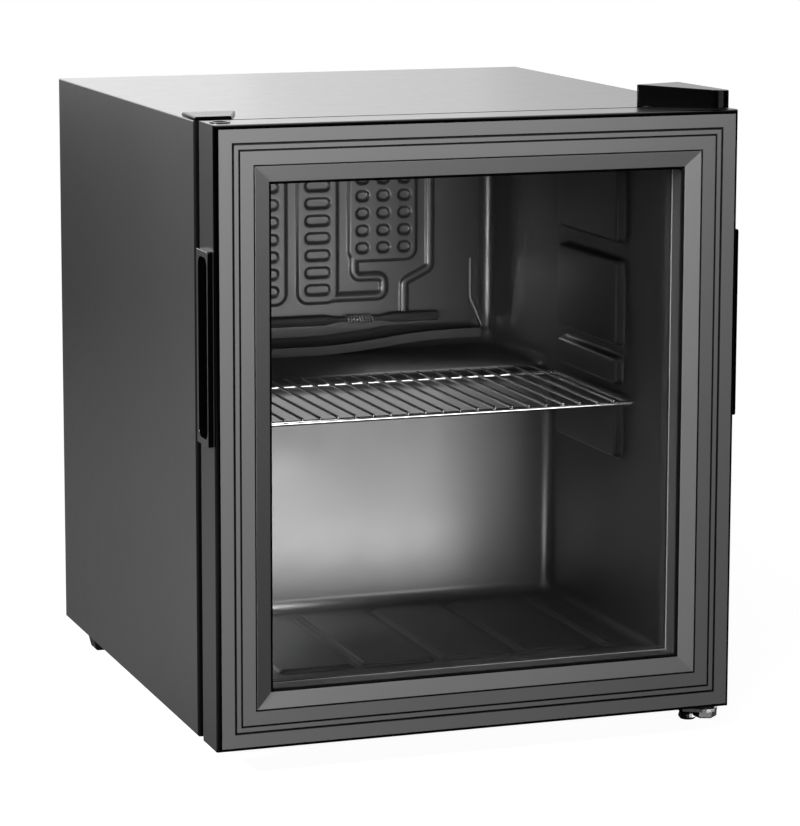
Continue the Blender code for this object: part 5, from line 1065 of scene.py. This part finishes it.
def inner_liner():
    """The moulded tub: rounded edges, a rolled lip and flange, floor pads and shelf guides."""
    lip = CABINET_START + LIP_ROUNDING
    bm = bmesh.new()
    rows = [[bm.verts.new(point) for point in outline] for outline in tub_outlines(lip)]
    for row, following in zip(rows, rows[1:]):
        bridge(bm, row, following, False)
    bm.faces.new(rows[0])
    bm.faces.new(rows[-1][::-1])
    rim = [row[0] for row in rows] + [row[-1] for row in reversed(rows)]
    centre = place(0, 0, (LINER_FLOOR + LINER_CEILING) / 2)
    rays = [(v.co, grow_out(v.co, centre)) for v in rim]
    loops = []
    for fall, left in quarter(LIP_STEPS)[1:]:
        depth = CABINET_START + LIP_ROUNDING * left
        loops.append([(point + away * LIP_ROUNDING * fall, depth) for point, away in rays])
    loops.append([(to_flange_edge(point, away), CABINET_START) for point, away in rays])
    for loop in loops:
        row = [bm.verts.new((point.x, FRONT + depth, point.z)) for point, depth in loop]
        bridge(bm, rim, row)
        rim = row
    tub = keep("moulded_liner", bm, "liner", "cabinet", "inner_liner")
    modify(tub, "wall", "SOLIDIFY", thickness=LINER_WALL, offset=-1)
    pads = bmesh.new()
    add_liner_pads(pads)
    keep("liner_pads", pads, "liner", "cabinet")


def to_flange_edge(point, away):
    """Where a ray from the opening's rim meets the flange's outer rectangle."""
    half_x = HALF - FLANGE_INSET
    middle = BASE + CABINET_HEIGHT / 2
    half_z = CABINET_HEIGHT / 2 - FLANGE_INSET
    runs = []
    for gap, run in ((half_x - abs(point.x), away.x), (half_z - abs(point.z - middle), away.z)):
        if abs(run) > 1e-6:
            runs.append(gap / abs(run))
    return point + away * min(runs)


def grow_out(point, centre):
    """Direction away from the opening's middle, along the nearer edges of its rounded outline."""
    half_x = LINER_HALF - LINER_EDGE_RADIUS
    half_z = (LINER_CEILING - LINER_FLOOR) / 2 - LINER_EDGE_RADIUS
    dx = max(abs(point.x) - half_x, 0.0)
    dz = max(abs(point.z - centre.z) - half_z, 0.0)
    away = Vector((math.copysign(dx, point.x), 0.0, math.copysign(dz, point.z - centre.z)))
    return away.normalized()


def add_liner_pads(bm):
    """Pads on the floor and guides on the side walls, with soft moulded flanks."""
    profile = pillow_profile(PAD_HEIGHT, PAD_SLOPE, PAD_ROUNDING)
    middle_depth, half_depth = middle_and_half(*PAD_DEPTHS)
    spans = [((k - (PAD_COUNT - 1) / 2) * PAD_PITCH, PAD_WIDTH / 2) for k in range(PAD_COUNT)]
    reach, half_side = middle_and_half(*SIDE_PAD)
    spans += [(-reach, half_side), (reach, half_side)]

    def on_floor(u, depth, height):
        return place(u, depth, LINER_FLOOR + height)

    for middle, half in spans:
        half = (half - PAD_SLOPE / 2, half_depth - PAD_SLOPE / 2)
        add_pillow(bm, (middle, middle_depth), half, PAD_CORNER, profile, on_floor)
    profile = pillow_profile(GUIDE_PROUD, GUIDE_SLOPE, GUIDE_ROUNDING)
    tub = LINER_CEILING - LINER_FLOOR
    middle_depth, half_depth = middle_and_half(*GUIDE_DEPTHS)
    for side in (-1, 1):

        def on_wall(depth, height, lift):
            return place(side * (LINER_HALF - lift), depth, height)

        for bottom, top in GUIDE_SHARES:
            middle = (middle_depth, LINER_FLOOR + tub * (bottom + top) / 2)
            half = (half_depth, tub * (top - bottom) / 2)
            add_pillow(bm, middle, half, GUIDE_CORNER, profile, on_wall)


painted_shell()
grooved_face()
rounded_edge_strip()
sloping_bead()
painted_sealant_glint()
recessed_grip("left_grip", -1)
recessed_grip("right_grip", 1)
hinge_cover()
wire_shelf()
evaporator_plate()
inner_liner()
insulation_core()


# Floor, background and lamps

FLOOR_HALF = 9.0
STUDIO = {"From_Min": -0.35, "From_Max": 0.9}
FLOOR_GLOW = {"From_Min": 0.7, "From_Max": 1.6, "To_Min": 0.97}
BACKDROP_START = {"From_Min": 0.2, "From_Max": 0.7}
BACKDROP_FALL = {"From_Min": 0.24, "From_Max": 0.42, "To_Min": 1.0, "To_Max": 0.68}
ROOM_LIGHT = 0.04
WHITE = (1.0, 1.0, 1.0, 1.0)


def make_stage():
    """Floor that is white to the camera but for the shadow, and shades off to dark in front."""
    bm = bmesh.new()
    bmesh.ops.create_grid(bm, x_segments=1, y_segments=1, size=FLOOR_HALF)
    floor = mesh_object("floor", bm)
    m = Nodes("pale_floor")
    m.set(Roughness=1.0, Specular_IOR_Level=0.0)
    where = m.add("ShaderNodeTexCoord").outputs["Object"]
    back = m.span(m.split(where)["Y"], **STUDIO)
    m.colour(back, (0.0, (0.05, 0.05, 0.05)), (1.0, (0.4, 0.4, 0.4)))
    far = m.add("ShaderNodeVectorMath", operation="LENGTH")
    m.feed(far, where)
    white = m.add("ShaderNodeEmission", Color=WHITE)
    m.link(m.span(far.outputs["Value"], **FLOOR_GLOW), white.inputs["Strength"])
    pale = m.add("ShaderNodeBsdfDiffuse", Color=(0.25, 0.25, 0.25, 1.0))
    seen = m.feed(m.add("ShaderNodeAddShader"), white.outputs["Emission"], pale.outputs["BSDF"])
    direct = m.seen_directly(m.add("ShaderNodeLightPath"))
    look = m.mix(direct, m.shader.outputs["BSDF"], seen)
    m.link(look, m.output.inputs["Surface"])
    floor.data.materials.append(m.material)


def make_world():
    """Dim room in front of a white backdrop, which the camera, the gloss and the glass see."""
    world = bpy.data.worlds.new("studio")
    bpy.context.scene.world = world
    world.use_nodes = True
    tree = Tree(world.node_tree)
    dim = world.node_tree.nodes["Background"]
    dim.inputs["Color"].default_value = WHITE
    dim.inputs["Strength"].default_value = ROOM_LIGHT
    white = tree.add("ShaderNodeBackground", Color=WHITE)
    way = tree.split(tree.add("ShaderNodeTexCoord").outputs["Generated"])
    behind = tree.span(way["Y"], **BACKDROP_START)
    rightward = tree.span(way["X"], **BACKDROP_FALL)
    path = tree.add("ShaderNodeLightPath")
    gloss = tree.maths("MULTIPLY", behind, rightward)
    mirrored = tree.maths("MULTIPLY", path.outputs["Is Glossy Ray"], gloss)
    either = tree.maths("MAXIMUM", tree.seen_directly(path), mirrored)
    look = tree.mix(either, dim.outputs["Background"], white.outputs["Background"])
    tree.link(look, world.node_tree.nodes["World Output"].inputs["Surface"])


def add_lamp(name, kind, spot, power):
    """Lamp that the camera doesn't see."""
    lamp = add_object(name, bpy.data.lights.new(name, kind))
    lamp.data.energy = power
    lamp.location = spot
    lamp.visible_camera = False
    return lamp


def softbox(name, spot, target, size, power, spread=180.0):
    """Rectangular lamp aimed at a point, with its beam's angle in degrees."""
    lamp = add_lamp(name, "AREA", spot, power)
    lamp.data.shape = "RECTANGLE"
    lamp.data.size, lamp.data.size_y = size
    lamp.data.spread = math.radians(spread)
    lamp.rotation_mode = "QUATERNION"
    lamp.rotation_quaternion = (Vector(target) - Vector(spot)).to_track_quat("-Z", "Y")
    lamp.visible_transmission = False
    return lamp


def globe(name, spot, radius, power):
    """Round lamp that shines the same to all sides."""
    lamp = add_lamp(name, "POINT", spot, power)
    lamp.data.shadow_soft_size = radius
    return lamp


def linked(name, objects, state):
    """Collection of objects, all marked as inside or outside a lamp's link."""
    group = bpy.data.collections.new(name)
    for obj in objects:
        group.objects.link(obj)
    for member in group.collection_objects:
        member.light_linking.link_state = state
    return group


def link_light(objects, state, *lamps):
    """Let lamps light only some objects, or all but them."""
    for lamp in lamps:
        lamp.light_linking.receiver_collection = linked(lamp.name + "_reach", objects, state)


def pieces(names, *others):
    """The pieces that stand for the named nodes, or the nodes themselves, and other objects."""
    return [STANDS_FOR.get(name, NODES[name]) for name in names] + [bpy.data.objects[o] for o in others]


INTERIOR = (
    "inner_liner",
    "drip_gutter",
    "evaporator_plate",
    "suction_line",
    "thermostat_sensor_tube",
    "capillary_wrap",
)
DOOR_RIM = (
    "door_frame",
    "door_face_frame",
    "glazing_bead",
    "door_edge_strip",
    "door_gasket",
    "glazing_seal",
)
NEAR_WALL = ("inner_liner", "insulation_foam", "outer_shell", "glass_spacer", "door_liner_frame")
GLINTS = HINGE_PLATES + HINGE_PINS + ("front_right_foot", "front_right_foot_insert")

make_stage()
make_world()
walls = pieces(INTERIOR, "liner_pads")
link_light(
    walls + pieces(["door_edge_strip"]),
    "EXCLUDE",
    globe("key", (-1.0, -0.5, 0.6), 0.12, 65.0),
    globe("top_key", (0.0, -0.5, 0.85), 0.08, 6.7),
)
softbox("backdrop", (-0.65, 1.9, 1.15), (-0.05, 0.6, 0.9), (3.0, 1.3), 2.2)
softbox("backdrop_wide", (-0.3, 1.9, 1.15), (0.2, 0.6, 0.9), (3.0, 1.3), 2.0)
rim = pieces(DOOR_RIM, "floor")
side = rim + pieces(NEAR_WALL, "painted_sealant_glint")
low_front = softbox("low_front", (0.57, -2.4, -0.42), (0.0, 0.0, 0.1), (0.68, 0.67), 38.0)
shelf_front = softbox("shelf_front", (0.75, -2.4, -0.3), (0.1, 0.0, 0.3), (1.3, 0.9), 28.0)
for lamp, passes in ((low_front, rim), (shelf_front, side)):
    lamp.light_linking.blocker_collection = linked(lamp.name + "_passes", passes, "EXCLUDE")
link_light([STANDS_FOR["wire_shelf"]], "INCLUDE", shelf_front)
link_light(
    walls,
    "INCLUDE",
    low_front,
    softbox("left_front", (0.25, -2.4, 0.15), (-0.1, 0.0, 0.3), (0.3, 0.3), 10.0),
    softbox("floor_glow", (0.0, -0.06, 0.062), (0.0, 0.2, 0.25), (0.26, 0.1), 0.46, 110.0),
    softbox("floor_sheen", (-0.165, 0.03, 0.1), (-0.12, -0.2, 0.04), (0.04, 0.04), 0.02, 160.0),
    softbox("ledge_sheen", (0.08, 0.17, 0.33), (0.02, -0.02, 0.25), (0.24, 0.03), 0.02, 80.0),
    softbox("upper_fill", (-0.1, -0.16, 0.29), (0.14, 0.2, 0.29), (0.08, 0.06), 0.15, 60.0),
    softbox("plate_glow", (-0.1, 0.1, 0.4), (-0.07, 0.2, 0.41), (0.05, 0.1), 0.05, 150.0),
    softbox("foot_glow", (-0.05, -0.05, 0.19), (-0.1, 0.06, 0.06), (0.06, 0.04), 0.12, 100.0),
)
link_light(
    pieces(GLINTS),
    "INCLUDE",
    softbox("pin_glint", (0.5, -1.6, 0.05), (0.2, -0.2, 0.01), (0.9, 0.1), 26.0),
    softbox("right_glint", (1.3, -1.0, 0.06), (0.2, -0.2, 0.01), (0.6, 0.12), 18.0),
)
tip_glint = softbox("tip_glint", (1.0, -1.5, 0.6), (0.2, -0.2, 0.5), (1.2, 0.6), 4.0)
link_light(pieces(["upper_hinge_cover"]), "INCLUDE", tip_glint)

bpy.context.scene.view_settings.view_transform = "Standard"
